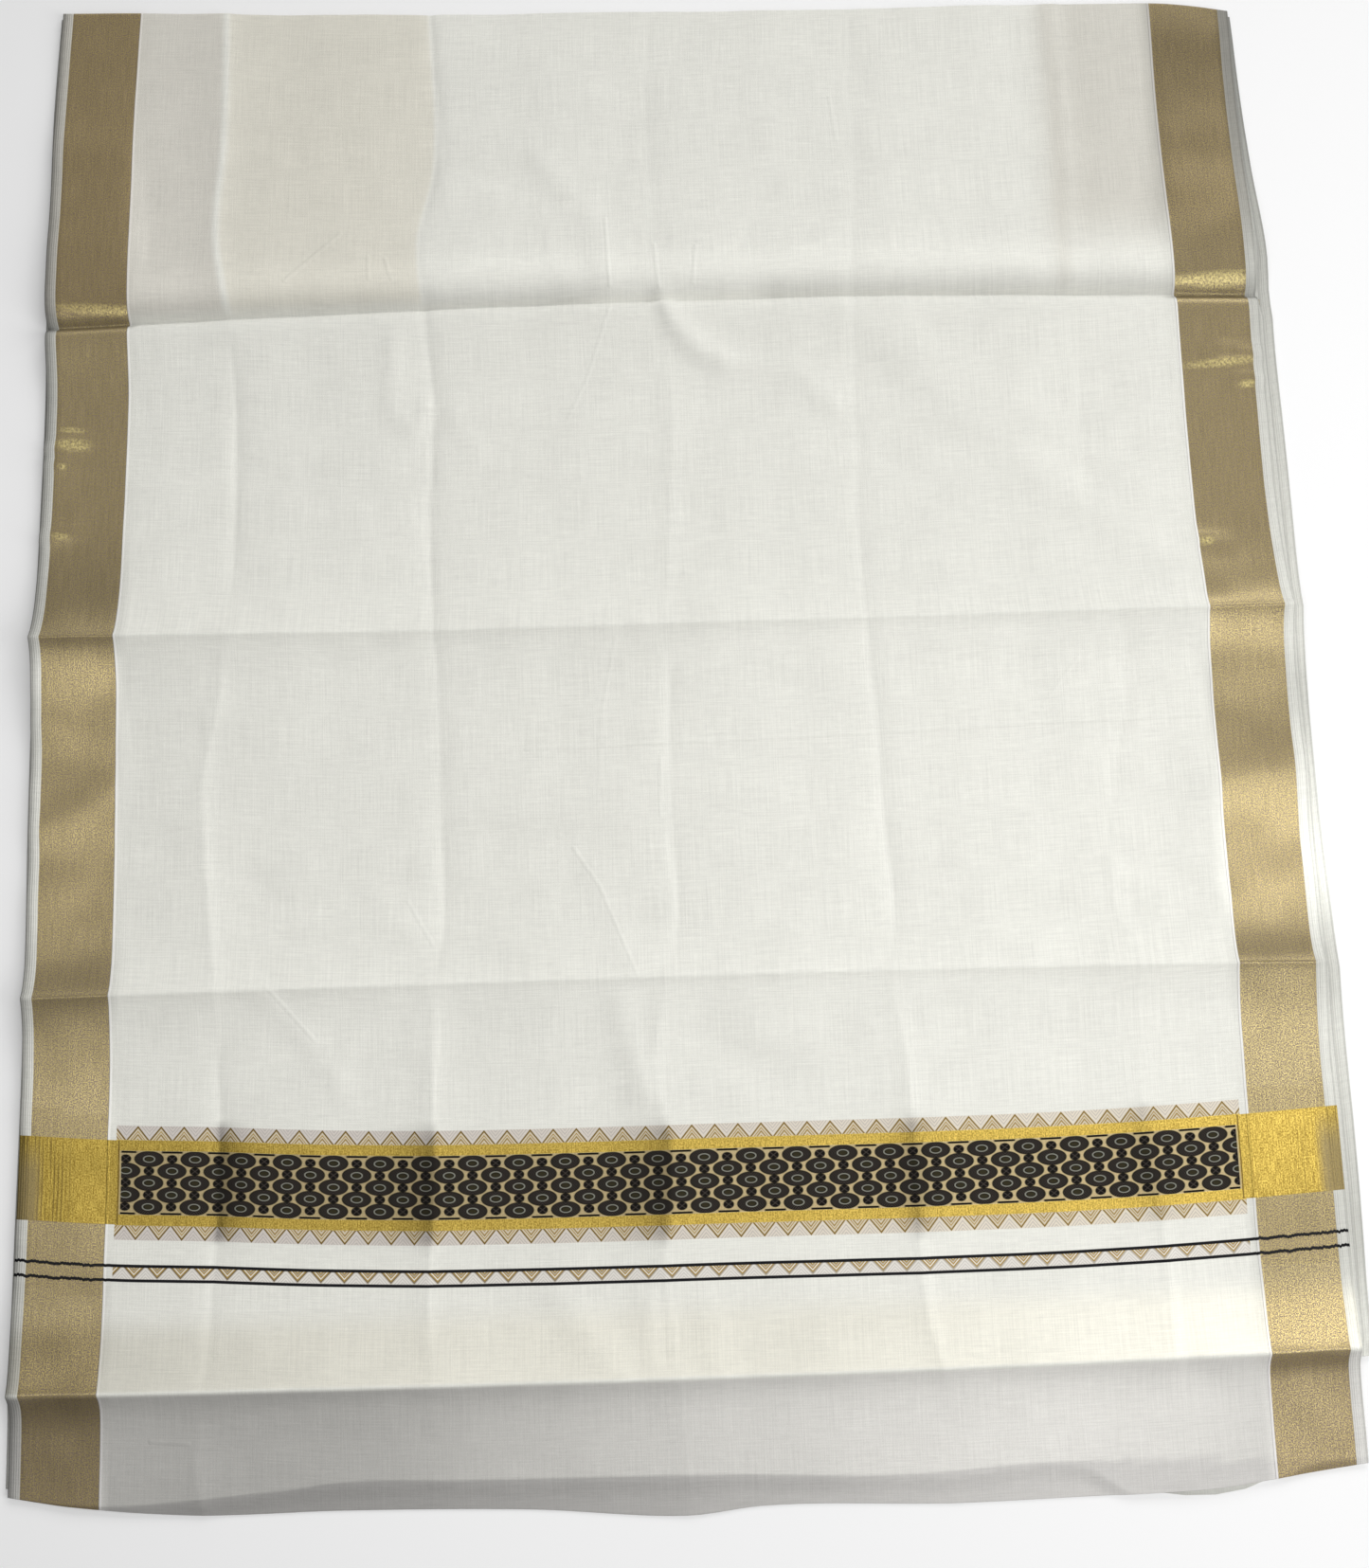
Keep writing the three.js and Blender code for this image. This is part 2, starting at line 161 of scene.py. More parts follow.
# Low folds over the cloth: the points that each passes, its height and its reach to each side
softFolds = tableOf(
    "path height reach",
    ([(3, 402), (14, 372), (34, 346), (62, 332)], 3.4, 9),
    ([(34, 346), (73, 329), (128, 323), (168, 285)], 1.9, 12),
    ([(-114, 551), (-63, 487), (-52, 416)], 1.8, 13),
    ([(-214, 542), (-138, 505), (-68, 486)], 0.9, 8),
    ([(-210, 524), (-140, 488), (-84, 474)], 0.8, 8),
    ([(-228, 437), (-97, 433)], 1.1, 9),
    ([(402, 700), (404, 640)], 1.0, 8),
    ([(191, 376), (301, 266), (435, 151), (511, 97)], 2.4, 22),
    ([(250, 352), (360, 262), (470, 190)], 1.2, 16),
    ([(-261, 364), (-264, 295), (-243, 268), (-229, 294)], 1.8, 8),
    ([(-209, 300), (-196, 268), (-182, 254)], 1.2, 7),
    ([(227, 225), (253, 200)], -1.0, 11),
    ([(-225, 60), (-200, -60)], 1.2, 26),
    ([(-169, -133), (-112, -121)], -1.2, 13),
    ([(-95, -144), (-72, -180), (-40, -262)], 0.8, 8),
    ([(-398, -160), (-363, -196), (-319, -192), (-253, -160)], -1.8, 12),
    ([(-400, -196), (-350, -228), (-290, -222)], -1.2, 11),
    ([(-275, -187), (-240, -226)], 1.1, 7),
    ([(246, 38), (380, 40), (512, 47)], 1.0, 8),
    ([(405, -180), (368, -203)], 1.2, 8),
    ([(405, -180), (451, -210)], 1.2, 8),
    ([(479, -176), (506, -210)], 1.4, 7),
    ([(-379, -272), (-336, -319), (-301, -371)], 1.3, 8),
    ([(-262, -279), (-305, -316), (-310, -342)], 1.3, 9),
    ([(-54, -290), (-36, -371)], 2.4, 13),
    ([(14, -313), (98, -371)], -1.8, 20),
    ([(-123, -538), (-66, -606)], 1.7, 14),
    ([(-36, -549), (-33, -606)], 1.2, 8),
    ([(11, -550), (26, -607)], 1.2, 8),
    ([(434, -616), (457, -636), (471, -672)], -1.9, 14),
    ([(-400, -650), (-317, -640), (-233, -639)], 1.2, 12),
    ([(-604, 262), (-566, 270)], 3.0, 7),
    ([(-604, 244), (-578, 248)], 2.2, 6),
    ([(-604, 172), (-570, 178)], 2.6, 7),
    ([(592, 320), (548, 326)], 3.0, 7),
    ([(592, 296), (562, 300)], 2.4, 6),
    ([(505, 138), (535, 130)], 2.4, 7),
    ([(508, -98), (592, -84)], 2.6, 32),
    ([(508, -248), (592, -240)], -1.6, 22),
    ([(-592, -10), (-528, -30)], 1.4, 14),
    ([(-592, -112), (-530, -76)], 1.6, 16),
)

# Slow waves of cloth that lies loosely: wavelength along x and y, turned by lean, and height
looseWaves = tableOf(
    "across along lean start height",
    (310, 260, 0.5, 0.3, 0.9),
    (170, 205, -0.7, 1.9, 0.5),
    (96, 120, 0.9, 4.1, 0.22),
    (61, 84, -0.3, 2.6, 0.12),
)

# The stiffer gold borders ripple more than the cotton does
borderWaves = tableOf(
    "across along lean start height",
    (150, 128, 0.4, 1.1, 0.9),
    (84, 71, -0.5, 3.4, 0.35),
    (47, 43, 0.3, 0.7, 0.12),
)

# The weft is pulled into a bow: how far it runs behind the middle at each place across
weftBow = dict(
    x=[-600, -500, -426, -323, -220, -83, 0, 300, 400, 500, 600],
    drop=[23, 15, 11.5, 5.3, 1.5, 0, 0, 0, 2, 6, 12],
)
clothCentre = -6.0  # x of the cloth's middle
hemPlace = -726.5  # y of the hem's edge where the weft doesn't bow

# Distances from the cloth's middle: the cross creases are lowest within middle and highest from side out
fromMiddle = dict(middle=220.0, side=480.0, border=495.0, borderFull=525.0)

# What is left of the lengthwise creases and the ripples where the cloth lies alone, and of the ripples of the
# borders beyond a place along the cloth
calmer = dict(crease=0.35, ripple=0.5, upperBorder=0.35, upperFrom=60.0, upperReach=80.0)


def smoothStep(t):
    # 3t squared minus 2t cubed, between 0 and 1
    s = np.clip(t, 0, 1)
    return s * s * (3 - 2 * s)


def mix(a, b, t):
    return a + (b - a) * t


def curveThrough(table, place, value, at):
    # A smooth curve through a table's rows; the slope at a row is the mean of the steps on its two sides
    places = np.array(table[place], float)
    values = np.array(table[value], float)
    if places[0] > places[-1]:
        places, values = places[::-1], values[::-1]
    steps = np.diff(values) / np.diff(places)
    slopes = (np.concatenate([steps[:1], steps]) + np.concatenate([steps, steps[-1:]])) / 2
    i = np.clip(np.searchsorted(places, at, side="right") - 1, 0, len(steps) - 1)
    span = places[i + 1] - places[i]
    t = np.clip((at - places[i]) / span, 0, 1)
    bend = t * (1 - t) * span
    return mix(values[i], values[i + 1], smoothStep(t)) + bend * (slopes[i] * (1 - t) - slopes[i + 1] * t)


def hemAt(x): return curveThrough(endLines, "x", "hem", x)
def lowerAt(x): return curveThrough(endLines, "x", "lower", x)
def foldAt(x): return curveThrough(endLines, "x", "fold", x)
def leftAt(y): return curveThrough(sideLines, "y", "left", y)
def rightAt(y): return curveThrough(sideLines, "y", "right", y)
def shareAcross(x): return (x + stack["halfWidth"]) / (2 * stack["halfWidth"])


def creaseLine(crease, x):
    # A shallow bow through the crease's left, middle and right places
    t = x / stack["halfWidth"]
    side = np.where(t < 0, crease["left"], crease["right"])
    return mix(crease["middle"], side, t * t)


def creaseForm(distance, reach):
    # 1 on the line, dying away over reach, with a small round on top
    return np.exp((crestRound - np.hypot(distance, crestRound)) / reach)


def hill(distance, reach):
    # A bell: e to the minus square of distance over reach
    return np.exp(-(distance / reach) ** 2)


def distanceToPath(path, x, y):
    # The least distance to any stretch of the path
    nearest = np.full(np.shape(x), 1e9)
    for (fromX, fromY), (toX, toY) in zip(path, path[1:]):
        alongX, alongY = toX - fromX, toY - fromY
        t = ((x - fromX) * alongX + (y - fromY) * alongY) / (alongX ** 2 + alongY ** 2)
        t = np.clip(t, 0, 1)
        nearest = np.minimum(nearest, np.hypot(x - fromX - t * alongX, y - fromY - t * alongY))
    return nearest


def waves(table, x, y):
    # The sum of height * sine across * sine along, each turned by its lean
    total = np.zeros(np.shape(x))
    for wave in table:
        across = 2 * math.pi * (x + wave["lean"] * y) / wave["across"]
        along = 2 * math.pi * (y - wave["lean"] * x) / wave["along"]
        total = total + wave["height"] * np.sin(across + wave["start"]) * np.sin(along + 2 * wave["start"])
    return total


def layersUnder(x, y):
    # 0 where the cloth lies alone, 1 where all the lengths lie under it, with a drop at each end of a length
    fourth = creaseLine(crossCreases[0], x)
    inner = smoothStep((y - fourth + stack["stackDrop"]) / stack["stackDrop"])
    outer = smoothStep((y - lowerAt(x) + stack["dropStart"] + stack["stackDrop"]) / stack["stackDrop"])
    height = stack["wall"] + (stack["lowStack"] - stack["wall"]) * outer
    height = height + (stack["fullStack"] - stack["lowStack"]) * inner
    return height, (height - stack["wall"]) / (stack["fullStack"] - stack["wall"])


def foldRelief(x, y, fullness, finest=True):
    # How far the cloth stands over the flat stack: cross creases, lengthwise creases, folds and slow waves
    away = np.abs(x - clothCentre)
    nearSide = smoothStep((away - fromMiddle["middle"]) / (fromMiddle["side"] - fromMiddle["middle"]))
    onBorder = smoothStep((away - fromMiddle["border"]) / (fromMiddle["borderFull"] - fromMiddle["border"]))
    reach = np.where(y > swell["y"], mix(swell["reach"], swell["borderReach"], onBorder), swell["reach"])
    relief = swell["height"] * hill(y - swell["y"], reach)
    for crease in crossCreases:
        distance = y - creaseLine(crease, x)
        height = mix(crease["leftHeight"], crease["rightHeight"], shareAcross(x))
        height = height * mix(crease["middleShare"], 1.0, nearSide)
        reach = np.where(distance > 0, crease["above"], crease["below"])
        relief = relief + height * creaseForm(distance, reach)
        relief = relief + crease["line"] * creaseForm(distance, crease["lineReach"])
    if not finest:
        return relief
    for crease in lengthCreases:
        distance = x - curveThrough(crease, "y", "x", y)
        height = curveThrough(crease, "y", "height", y)
        reach = np.where(
            distance < 0, curveThrough(crease, "y", "left", y), curveThrough(crease, "y", "right", y)
        )
        relief = relief + mix(calmer["crease"], 1.0, fullness) * height * creaseForm(distance, reach)
    for fold in softFolds:
        relief = relief + fold["height"] * hill(distanceToPath(fold["path"], x, y), fold["reach"])
    relief = relief + fullness * waves(looseWaves, x, y)
    upper = smoothStep((y - calmer["upperFrom"]) / calmer["upperReach"])
    rippled = onBorder * mix(1.0, calmer["upperBorder"], upper)
    return relief + mix(calmer["ripple"], 1.0, fullness) * rippled * waves(borderWaves, x, y)


def clothHeight(x, y):
    # The top length's outer face above the table
    height, fullness = layersUnder(x, y)
    lowFullness = (stack["lowStack"] - stack["wall"]) / (stack["fullStack"] - stack["wall"])
    least = mix(stack["wall"], stack["leastStack"], np.minimum(fullness / lowFullness, 1))
    return np.maximum(height + foldRelief(x, y, fullness), least)


def crowded(low, high, count, places, reach, gain):
    # Numbers from low to high, crowded near the places: equal steps of the integral of 1 + gain * bells
    fine = np.linspace(low, high, 4000)
    density = np.ones_like(fine)
    for place in places:
        density += gain * hill(fine - place, reach)
    total = np.concatenate([[0], np.cumsum((density[1:] + density[:-1]) / 2)])
    return np.interp(np.linspace(0, total[-1], count), total, fine)


def hatWeights(knots, at):
    # For each number, its share of each knot: 1 on the knot, falling to 0 at the next ones
    return np.stack([np.interp(at, knots, np.eye(len(knots))[k]) for k in range(len(knots))], axis=1)


def blendRows(weights, lines, x):
    # Heights of the grid's rows: each is the sum of the lines, by their weights
    return sum(weights[:, k:k + 1] * np.broadcast_to(line, x.shape) for k, line in enumerate(lines))


def gridQuads(rows, columns):
    # Each cell of a grid as four indices, anticlockwise seen from the grid's outer side
    corner = (np.arange(rows - 1)[:, None] * columns + np.arange(columns - 1)[None, :]).ravel()
    return np.stack([corner, corner + 1, corner + columns + 1, corner + columns], axis=1)


def meshFromArrays(name, points, quads, materials, faceMaterial=None):
    # One object from points in millimetres and four-cornered faces
    mesh = bpy.data.meshes.new(name)
    mesh.vertices.add(len(points))
    mesh.vertices.foreach_set("co", (points * mm).astype(np.float32).ravel())
    mesh.loops.add(quads.size)
    mesh.loops.foreach_set("vertex_index", quads.astype(np.int32).ravel())
    mesh.polygons.add(len(quads))
    mesh.polygons.foreach_set("loop_start", np.arange(0, quads.size, 4, dtype=np.int32))
    mesh.polygons.foreach_set("loop_total", np.full(len(quads), 4, dtype=np.int32))
    for material in materials:
        mesh.materials.append(material)
    if faceMaterial is not None:
        mesh.polygons.foreach_set("material_index", faceMaterial.astype(np.int32))
    mesh.update(calc_edges=True)
    mesh.polygons.foreach_set("use_smooth", np.ones(len(quads), dtype=bool))
    piece = bpy.data.objects.new(name, mesh)
    bpy.context.scene.collection.objects.link(piece)
    return piece


def thicken(piece, offset):
    # Gives a sheet the cloth's thickness: offset -1 under it, 0 to both sides
    solidify = piece.modifiers.new("thickness", "SOLIDIFY")
    solidify.thickness = stack["clothThickness"] * mm
    solidify.offset = offset


def addClothPlace(piece, across, along):
    # The UV map that every cloth pattern follows: metres across from the middle and along from the hem
    mesh = piece.data
    uvMap = mesh.uv_layers.new(name="clothPlace")
    corners = np.zeros(len(mesh.loops), dtype=np.int32)
    mesh.loops.foreach_get("vertex_index", corners)
    places = np.stack([across.ravel()[corners], along.ravel()[corners]], axis=1) * mm
    uvMap.uv.foreach_set("vector", places.astype(np.float32).ravel())


def addTone(piece, tone):
    # A colour at each point that the cloth's own colour is multiplied by: its tone, with light and shade
    # painted in
    tone = tone.reshape(-1, 3)
    colours = np.concatenate([tone, np.ones((len(tone), 1))], axis=1)
    layer = piece.data.color_attributes.new(name="clothToneAndPaintedLight", type="FLOAT_COLOR", domain="POINT")
    layer.data.foreach_set("color", colours.astype(np.float32).ravel())


# Materials

cottonLook = dict(
    colour=(0.80, 0.797, 0.735), roughness=0.88, sheen=0.25, specular=0.25,
    slubColour=0.24, mottle=0.10, blotch=0.12, threadPitch=0.5, threadHeight=0.03, slubHeight=0.14,
)
goldLook = dict(
    thread=(0.55, 0.45, 0.186), core=(0.27, 0.203, 0.162), glint=(0.95, 0.80, 0.34),
    roughness=0.40, anisotropic=0.5, leastMetal=0.03, mostMetal=0.70,
    least=0.46, streak=0.60, coarse=0.46,
    cord=515.7, cordWidth=2.0, cordColour=(0.90, 0.89, 0.85), cordHeight=0.45,
    inner=516.8, outer=586.5, edge=595.0, edgeShade=0.16, ribPitch=2.1, ribShade=0.05, ribHeight=0.12,
    threadPitch=0.9, threadHeight=0.035, streakHeight=0.06, crossingHeight=0.05,
)
# Small places on the borders where the gold catches the light
goldGlints = tableOf(
    "x y half",
    (-577, 283, (11, 2.5)), (-575, 267, (15, 5.5)), (-584, 245, (4, 2.5)), (-583, 174, (7, 3)),
    (550, 314, (34, 4)), (573, 291, (8, 3.5)), (518, 132, (7, 4)), (-545, 404, (46, 4.5)),
    (545, 401, (38, 5)), (560, 399, (30, 6)),
)
bandLook = dict(
    specular=0.12,
    # Places and sizes along the cloth from the band's centre line
    centre=277.0, panel=28.0, goldBand=9.6, zigzag=12.6, blockHalf=37.0, panelEnd=505.0,
    # The ovals of the panel
    rowSpace=10.5, pitch=41.83, start=-18.9, largeOval=(13.4, 7.2), smallOval=(4.9, 3.8),
    ring=(5.5, 3.1), ringInside=(4.5, 2.4), heart=(3.5, 1.8), hatchOval=(12.2, 6.5),
    hatch=2.3, hatchLine=0.75, capReach=10.6, capDepth=1.9,
    ground=(0.50, 0.40, 0.215), dark=(0.006, 0.005, 0.004), hatchColour=(0.085, 0.07, 0.06),
    ringColour=(0.30, 0.30, 0.25), heartColour=(0.030, 0.026, 0.012),
    # The chevrons: how far the outermost line is from the apex, and the lines inside it
    chevronReach=10.4, chevronSpace=2.75, goldLine=1.5, outerBrown=9.75, innerBrown=4.2, innerShare=0.6,
    paleLine=1.1, paleFrom=11.5,
    threadGold=(0.50, 0.34, 0.085), brown=(0.12, 0.075, 0.02), chevronGap=(0.64, 0.57, 0.44),
    strip=(0.66, 0.61, 0.56), stripRight=(0.76, 0.69, 0.57), stripLine=(0.40, 0.365, 0.35),
    # The gold bands and blocks
    goldLow=(0.36, 0.235, 0.035), goldHigh=(0.80, 0.585, 0.13), ribColour=(0.15, 0.10, 0.03),
    ribPitch=3.6, ribRight=0.45, ribShare=0.6,
    dullGold=(0.30, 0.245, 0.14), dullFrom=577.0, dullShare=0.7, leftLight=0.84,
    # The pair of black lines and the chevrons that hang between them
    blackLines=(204.5, 192.0), blackWidth=2.6, black=(0.010, 0.010, 0.012), ragged=4.6,
    hungGround=(0.76, 0.73, 0.67), hungSlope=1.15, hungGold=1.4, hungBrown=0.9, hungInner=6.4,
    blockHeight=0.10, panelHeight=0.15, blackHeight=0.3,
)
thinSoft = 0.4  # the soft edge of the finest woven lines


def addNode(tree, kind, **settings):
    node = tree.nodes.new("ShaderNode" + kind)
    for name, value in settings.items():
        setattr(node, name, value)
    return node


def feed(tree, slot, value):
    # Links a term or a socket to an input, or sets a number or a colour on it
    value = value.socket if isinstance(value, Term) else value
    if isinstance(value, bpy.types.NodeSocket):
        tree.links.new(value, slot)
    elif isinstance(value, tuple):
        slot.default_value = (*value, 1.0)[:len(slot.default_value)]
    else:
        slot.default_value = value


class Term:
    # A number in a material's formula; + - * / and the named steps each add one Math node
    def __init__(self, tree, socket):
        self.tree = tree
        self.socket = socket

    def step(self, operation, *others, clamp=False):
        node = addNode(self.tree, "Math", operation=operation, use_clamp=clamp)
        for slot, value in zip(node.inputs, (self,) + others):
            feed(self.tree, slot, value)
        return Term(self.tree, node.outputs[0])

    def __add__(self, other): return self.step("ADD", other)
    def __radd__(self, other): return self.step("ADD", other)
    def __sub__(self, other): return self.step("SUBTRACT", other)
    def __rsub__(self, other): return self.step("MULTIPLY_ADD", -1.0, other)
    def __mul__(self, other): return self.step("MULTIPLY", other)
    def __truediv__(self, other): return self.step("DIVIDE", other)
    def size(self): return self.step("ABSOLUTE")
    def rounded(self): return self.step("ROUND")
    def most(self, other): return self.step("MAXIMUM", other)
    def sine(self): return self.step("SINE")
    def root(self): return self.step("SQRT")

    def ramp(self, low, high):
        # 0 at low, 1 at high, smooth between; high may be the lower number
        node = addNode(self.tree, "MapRange", interpolation_type="SMOOTHSTEP")
        feed(self.tree, node.inputs["Value"], self)
        for name, value in (
            ("From Min", min(low, high)), ("From Max", max(low, high)),
            ("To Min", float(high < low)), ("To Max", float(high >= low)),
        ):
            node.inputs[name].default_value = value
        return Term(self.tree, node.outputs["Result"])

    def under(self, limit, soft):
        # 1 below the limit and 0 above it, with a soft edge
        return self.ramp(limit + soft, limit - soft)

    def wrapped(self, pitch):
        # The signed distance to the nearest multiple of pitch
        return self - (self / pitch).rounded() * pitch

    def threads(self, pitch):
        # A sine that repeats over pitch
        return (self * (2 * math.pi / pitch)).sine()


def mostOf(terms):
    # The largest of several terms
    largest = terms[0]
    for term in terms[1:]:
        largest = largest.most(term)
    return largest


def mixTerm(a, b, t):
    # From one number to another by a term
    return t * (b - a) + a


def stripe(place, centre, width, soft):
    # 1 inside a stripe of this width, with soft edges
    return (place - centre).size().under(width / 2, soft / 2)


def oval(a, b, halfSize, soft):
    # 1 inside an oval: the root of (a / half width) squared plus (b / half height) squared is under 1
    reach = ((a / halfSize[0]) * (a / halfSize[0]) + (b / halfSize[1]) * (b / halfSize[1])).root()
    return reach.under(1, soft)


class Cloth:
    # What the parts of one cloth material share: its node tree and the place on the cloth
    def __init__(self, name, specular):
        self.material = bpy.data.materials.new(name)
        self.material.use_nodes = True
        self.tree = self.material.node_tree
        self.shader = self.tree.nodes["Principled BSDF"]
        self.shader.inputs["Specular IOR Level"].default_value = specular
        uvNode = addNode(self.tree, "UVMap", uv_map="clothPlace")
        split = addNode(self.tree, "SeparateXYZ")
        feed(self.tree, split.inputs[0], uvNode.outputs["UV"])
        self.u = Term(self.tree, split.outputs["X"]) / mm
        self.v = Term(self.tree, split.outputs["Y"]) / mm

    def noise(self, acrossSize, alongSize, detail=2.0, roughness=0.5, seed=0.0):
        # Cloudy noise between 0 and 1 with features of these sizes across and along the cloth
        join = addNode(self.tree, "CombineXYZ")
        node = addNode(self.tree, "TexNoise")
        for slot, value in (
            (join.inputs["X"], self.u / acrossSize), (join.inputs["Y"], self.v / alongSize),
            (join.inputs["Z"], seed), (node.inputs["Vector"], join.outputs[0]),
            (node.inputs["Scale"], 1.0), (node.inputs["Detail"], detail),
            (node.inputs["Roughness"], roughness),
        ):
            feed(self.tree, slot, value)
        return Term(self.tree, node.outputs["Fac"])

    def blend(self, factor, a, b, how="MIX"):
        # One colour over another; each is a colour or the socket of one
        node = addNode(self.tree, "Mix", data_type="RGBA", blend_type=how)
        for slot, value in zip((node.inputs[0], node.inputs[6], node.inputs[7]), (factor, a, b)):
            feed(self.tree, slot, value)
        return node.outputs[2]

    def layered(self, colour, *layers):
        # Colours laid over one another, each by its own factor
        for factor, over in layers:
            colour = self.blend(factor, colour, over)
        return colour

    def scaled(self, colour, amount):
        # A colour made darker or lighter by a number
        node = addNode(self.tree, "VectorMath", operation="SCALE")
        feed(self.tree, node.inputs[0], colour)
        feed(self.tree, node.inputs["Scale"], amount)
        return node.outputs[0]

    def stretchShine(self, amount):
        # Shine spread across the gold threads, which run along the cloth
        tangent = addNode(self.tree, "Tangent", direction_type="UV_MAP", uv_map="clothPlace")
        feed(self.tree, self.shader.inputs["Tangent"], tangent.outputs["Tangent"])
        self.shader.inputs["Anisotropic"].default_value = amount

    def finish(self, colour, metallic, roughness, height):
        # Colour times the cloth's tone with its painted light and shade, and the height of threads as a bump
        # in millimetres
        toneNode = addNode(self.tree, "Attribute", attribute_name="clothToneAndPaintedLight")
        bump = addNode(self.tree, "Bump")
        feed(self.tree, bump.inputs["Strength"], 1.0)
        feed(self.tree, bump.inputs["Distance"], mm)
        feed(self.tree, bump.inputs["Height"], height)
        toned = self.blend(1.0, colour, toneNode.outputs["Color"], "MULTIPLY")
        for name, value in (
            ("Base Color", toned), ("Metallic", metallic), ("Roughness", roughness),
            ("Normal", bump.outputs["Normal"]),
        ):
            feed(self.tree, self.shader.inputs[name], value)
        return self.material


def cottonColour(cloth):
    # Off-white, with thin slubs in the weft and the warp and slow cloudy differences
    weft = cloth.noise(34, 1.1, 2.0, 0.6, 1.0)
    warp = cloth.noise(1.2, 55, 2.0, 0.6, 5.0)
    mottle = cloth.noise(6, 4.5, 3.0, 0.6, 7.0)
    cloud = cloth.noise(70, 42, 4.0, 0.65, 9.0)
    amount = 1 + (weft + warp - 1.0) * cottonLook["slubColour"] + (cloud - 0.5) * cottonLook["blotch"]
    return cloth.scaled(cottonLook["colour"], amount + (mottle - 0.5) * cottonLook["mottle"])


def cottonHeight(cloth):
    # Crossing threads, each a sine over its pitch, and the slubs
    pitch = cottonLook["threadPitch"]
    threads = cloth.u.threads(pitch) * cloth.v.threads(pitch) * cottonLook["threadHeight"]
    slubs = cloth.noise(26, 1.4, 1.0, 0.5, 2.0) + cloth.noise(1.5, 30, 1.0, 0.5, 3.0)
    return threads + slubs * cottonLook["slubHeight"]


# Thin sharp wrinkles, too fine for the mesh: the points of each line and its height
wrinkleLook = dict(reach=3.4, share=0.75)
thinWrinkles = tableOf(
    "path height",
    ([(-313, 474), (-367, 420)], 0.55),
    ([(-285, 448), (-284, 424)], 0.4),
    ([(-268, 446), (-262, 424)], 0.4),
    ([(-49, 486), (-46, 412)], 0.6),
    ([(-46, 394), (-71, 322), (-91, 279)], 0.3),
    ([(-1, 455), (2, 408)], 0.5),
    ([(40, 452), (36, 412)], 0.45),
    ([(186, 566), (181, 613)], 0.3),
    ([(-50, 54), (-65, -15), (-69, -87)], 0.25),
    ([(-137, -49), (1, -47), (193, -43), (340, -40), (513, -43)], 0.5),
    ([(-95, -144), (-72, -180), (-40, -262)], 0.35),
    ([(-249, -192), (-227, -232)], 0.3),
    ([(-11, -60), (-13, -116)], 0.35),
    ([(389, 24), (350, -24)], 0.35),
    ([(-379, -272), (-336, -319)], 0.3),
    ([(-478, -671), (-445, -672)], 0.5),
)


def wrinkleHeight(cloth):
    # The highest of the lines: each is full on the line and gone at its reach
    place = cloth.v + hemPlace
    ridges = []
    for wrinkle in thinWrinkles:
        for (fromX, fromY), (toX, toY) in zip(wrinkle["path"], wrinkle["path"][1:]):
            alongX, alongY = toX - fromX, toY - fromY
            length = math.hypot(alongX, alongY)
            awayX = cloth.u + (clothCentre - fromX)
            awayY = place - fromY
            t = ((awayX * alongX + awayY * alongY) / length ** 2).step("MULTIPLY", 1.0, clamp=True)
            restX = awayX - t * alongX
            restY = awayY - t * alongY
            distance = (restX * restX + restY * restY).root()
            ridge = distance.ramp(wrinkleLook["reach"], 0.0)
            ridges.append(ridge * (wrinkle["height"] * wrinkleLook["share"]))
    return mostOf(ridges)


def borderParts(cloth, colour, height):
    # The gold border, the white cord beside it and the ribbed selvedge, laid over a colour and a height
    look = goldLook
    across = cloth.u.size()
    gold = stripe(across, (look["inner"] + look["outer"]) / 2, look["outer"] - look["inner"], 1.0)
    streak = cloth.noise(1.3, 34, 2.0, 0.6, 21.0)
    grain = cloth.noise(0.9, 1.2, 1.0, 0.5, 23.0).ramp(0.36, 0.64)
    coarse = cloth.noise(2.2, 2.6, 2.0, 0.6, 27.0)
    goldColour = cloth.blend(grain, look["core"], look["thread"])
    goldColour = cloth.scaled(goldColour, look["least"] + streak * look["streak"] + coarse * look["coarse"])
    # Painted highlights: the glint colour is laid over the gold at the listed places
    spots = []
    for place in goldGlints:
        drop = float(curveThrough(weftBow, "x", "drop", place["x"] - clothCentre))
        awayX = cloth.u + (clothCentre - place["x"])
        awayY = cloth.v + (hemPlace + drop - place["y"])
        spots.append(oval(awayX, awayY, place["half"], 0.6))
    goldColour = cloth.blend(mostOf(spots) * coarse.ramp(0.3, 0.75), goldColour, look["glint"])
    metal = mixTerm(look["leastMetal"], look["mostMetal"], grain) * gold
    cord = stripe(across, look["cord"], look["cordWidth"], 0.8)
    rib = cloth.u.threads(look["ribPitch"]) * across.ramp(look["outer"], look["outer"] + 1.5)
    edge = across.ramp(look["edge"] - 0.4, look["edge"] + 0.4)
    colour = cloth.scaled(colour, 1 - edge * look["edgeShade"] + rib * look["ribShade"])
    colour = cloth.layered(colour, (cord, look["cordColour"]), (gold, goldColour))
    threads = cloth.u.threads(look["threadPitch"]) * look["threadHeight"]
    threads = threads + (streak - 0.5) * look["streakHeight"]
    crossing = cloth.noise(1.6, 1.2, 1.0, 0.5, 25.0) * look["crossingHeight"]
    height = height * (1 - gold) + cord * look["cordHeight"] + rib * look["ribHeight"]
    return colour, gold, metal, height + (threads + crossing) * gold


def cottonMaterial():
    cloth = Cloth("off_white_cotton", cottonLook["specular"])
    cloth.shader.inputs["Sheen Weight"].default_value = cottonLook["sheen"]
    height = cottonHeight(cloth) + wrinkleHeight(cloth)
    return cloth.finish(cottonColour(cloth), 0.0, cottonLook["roughness"], height)


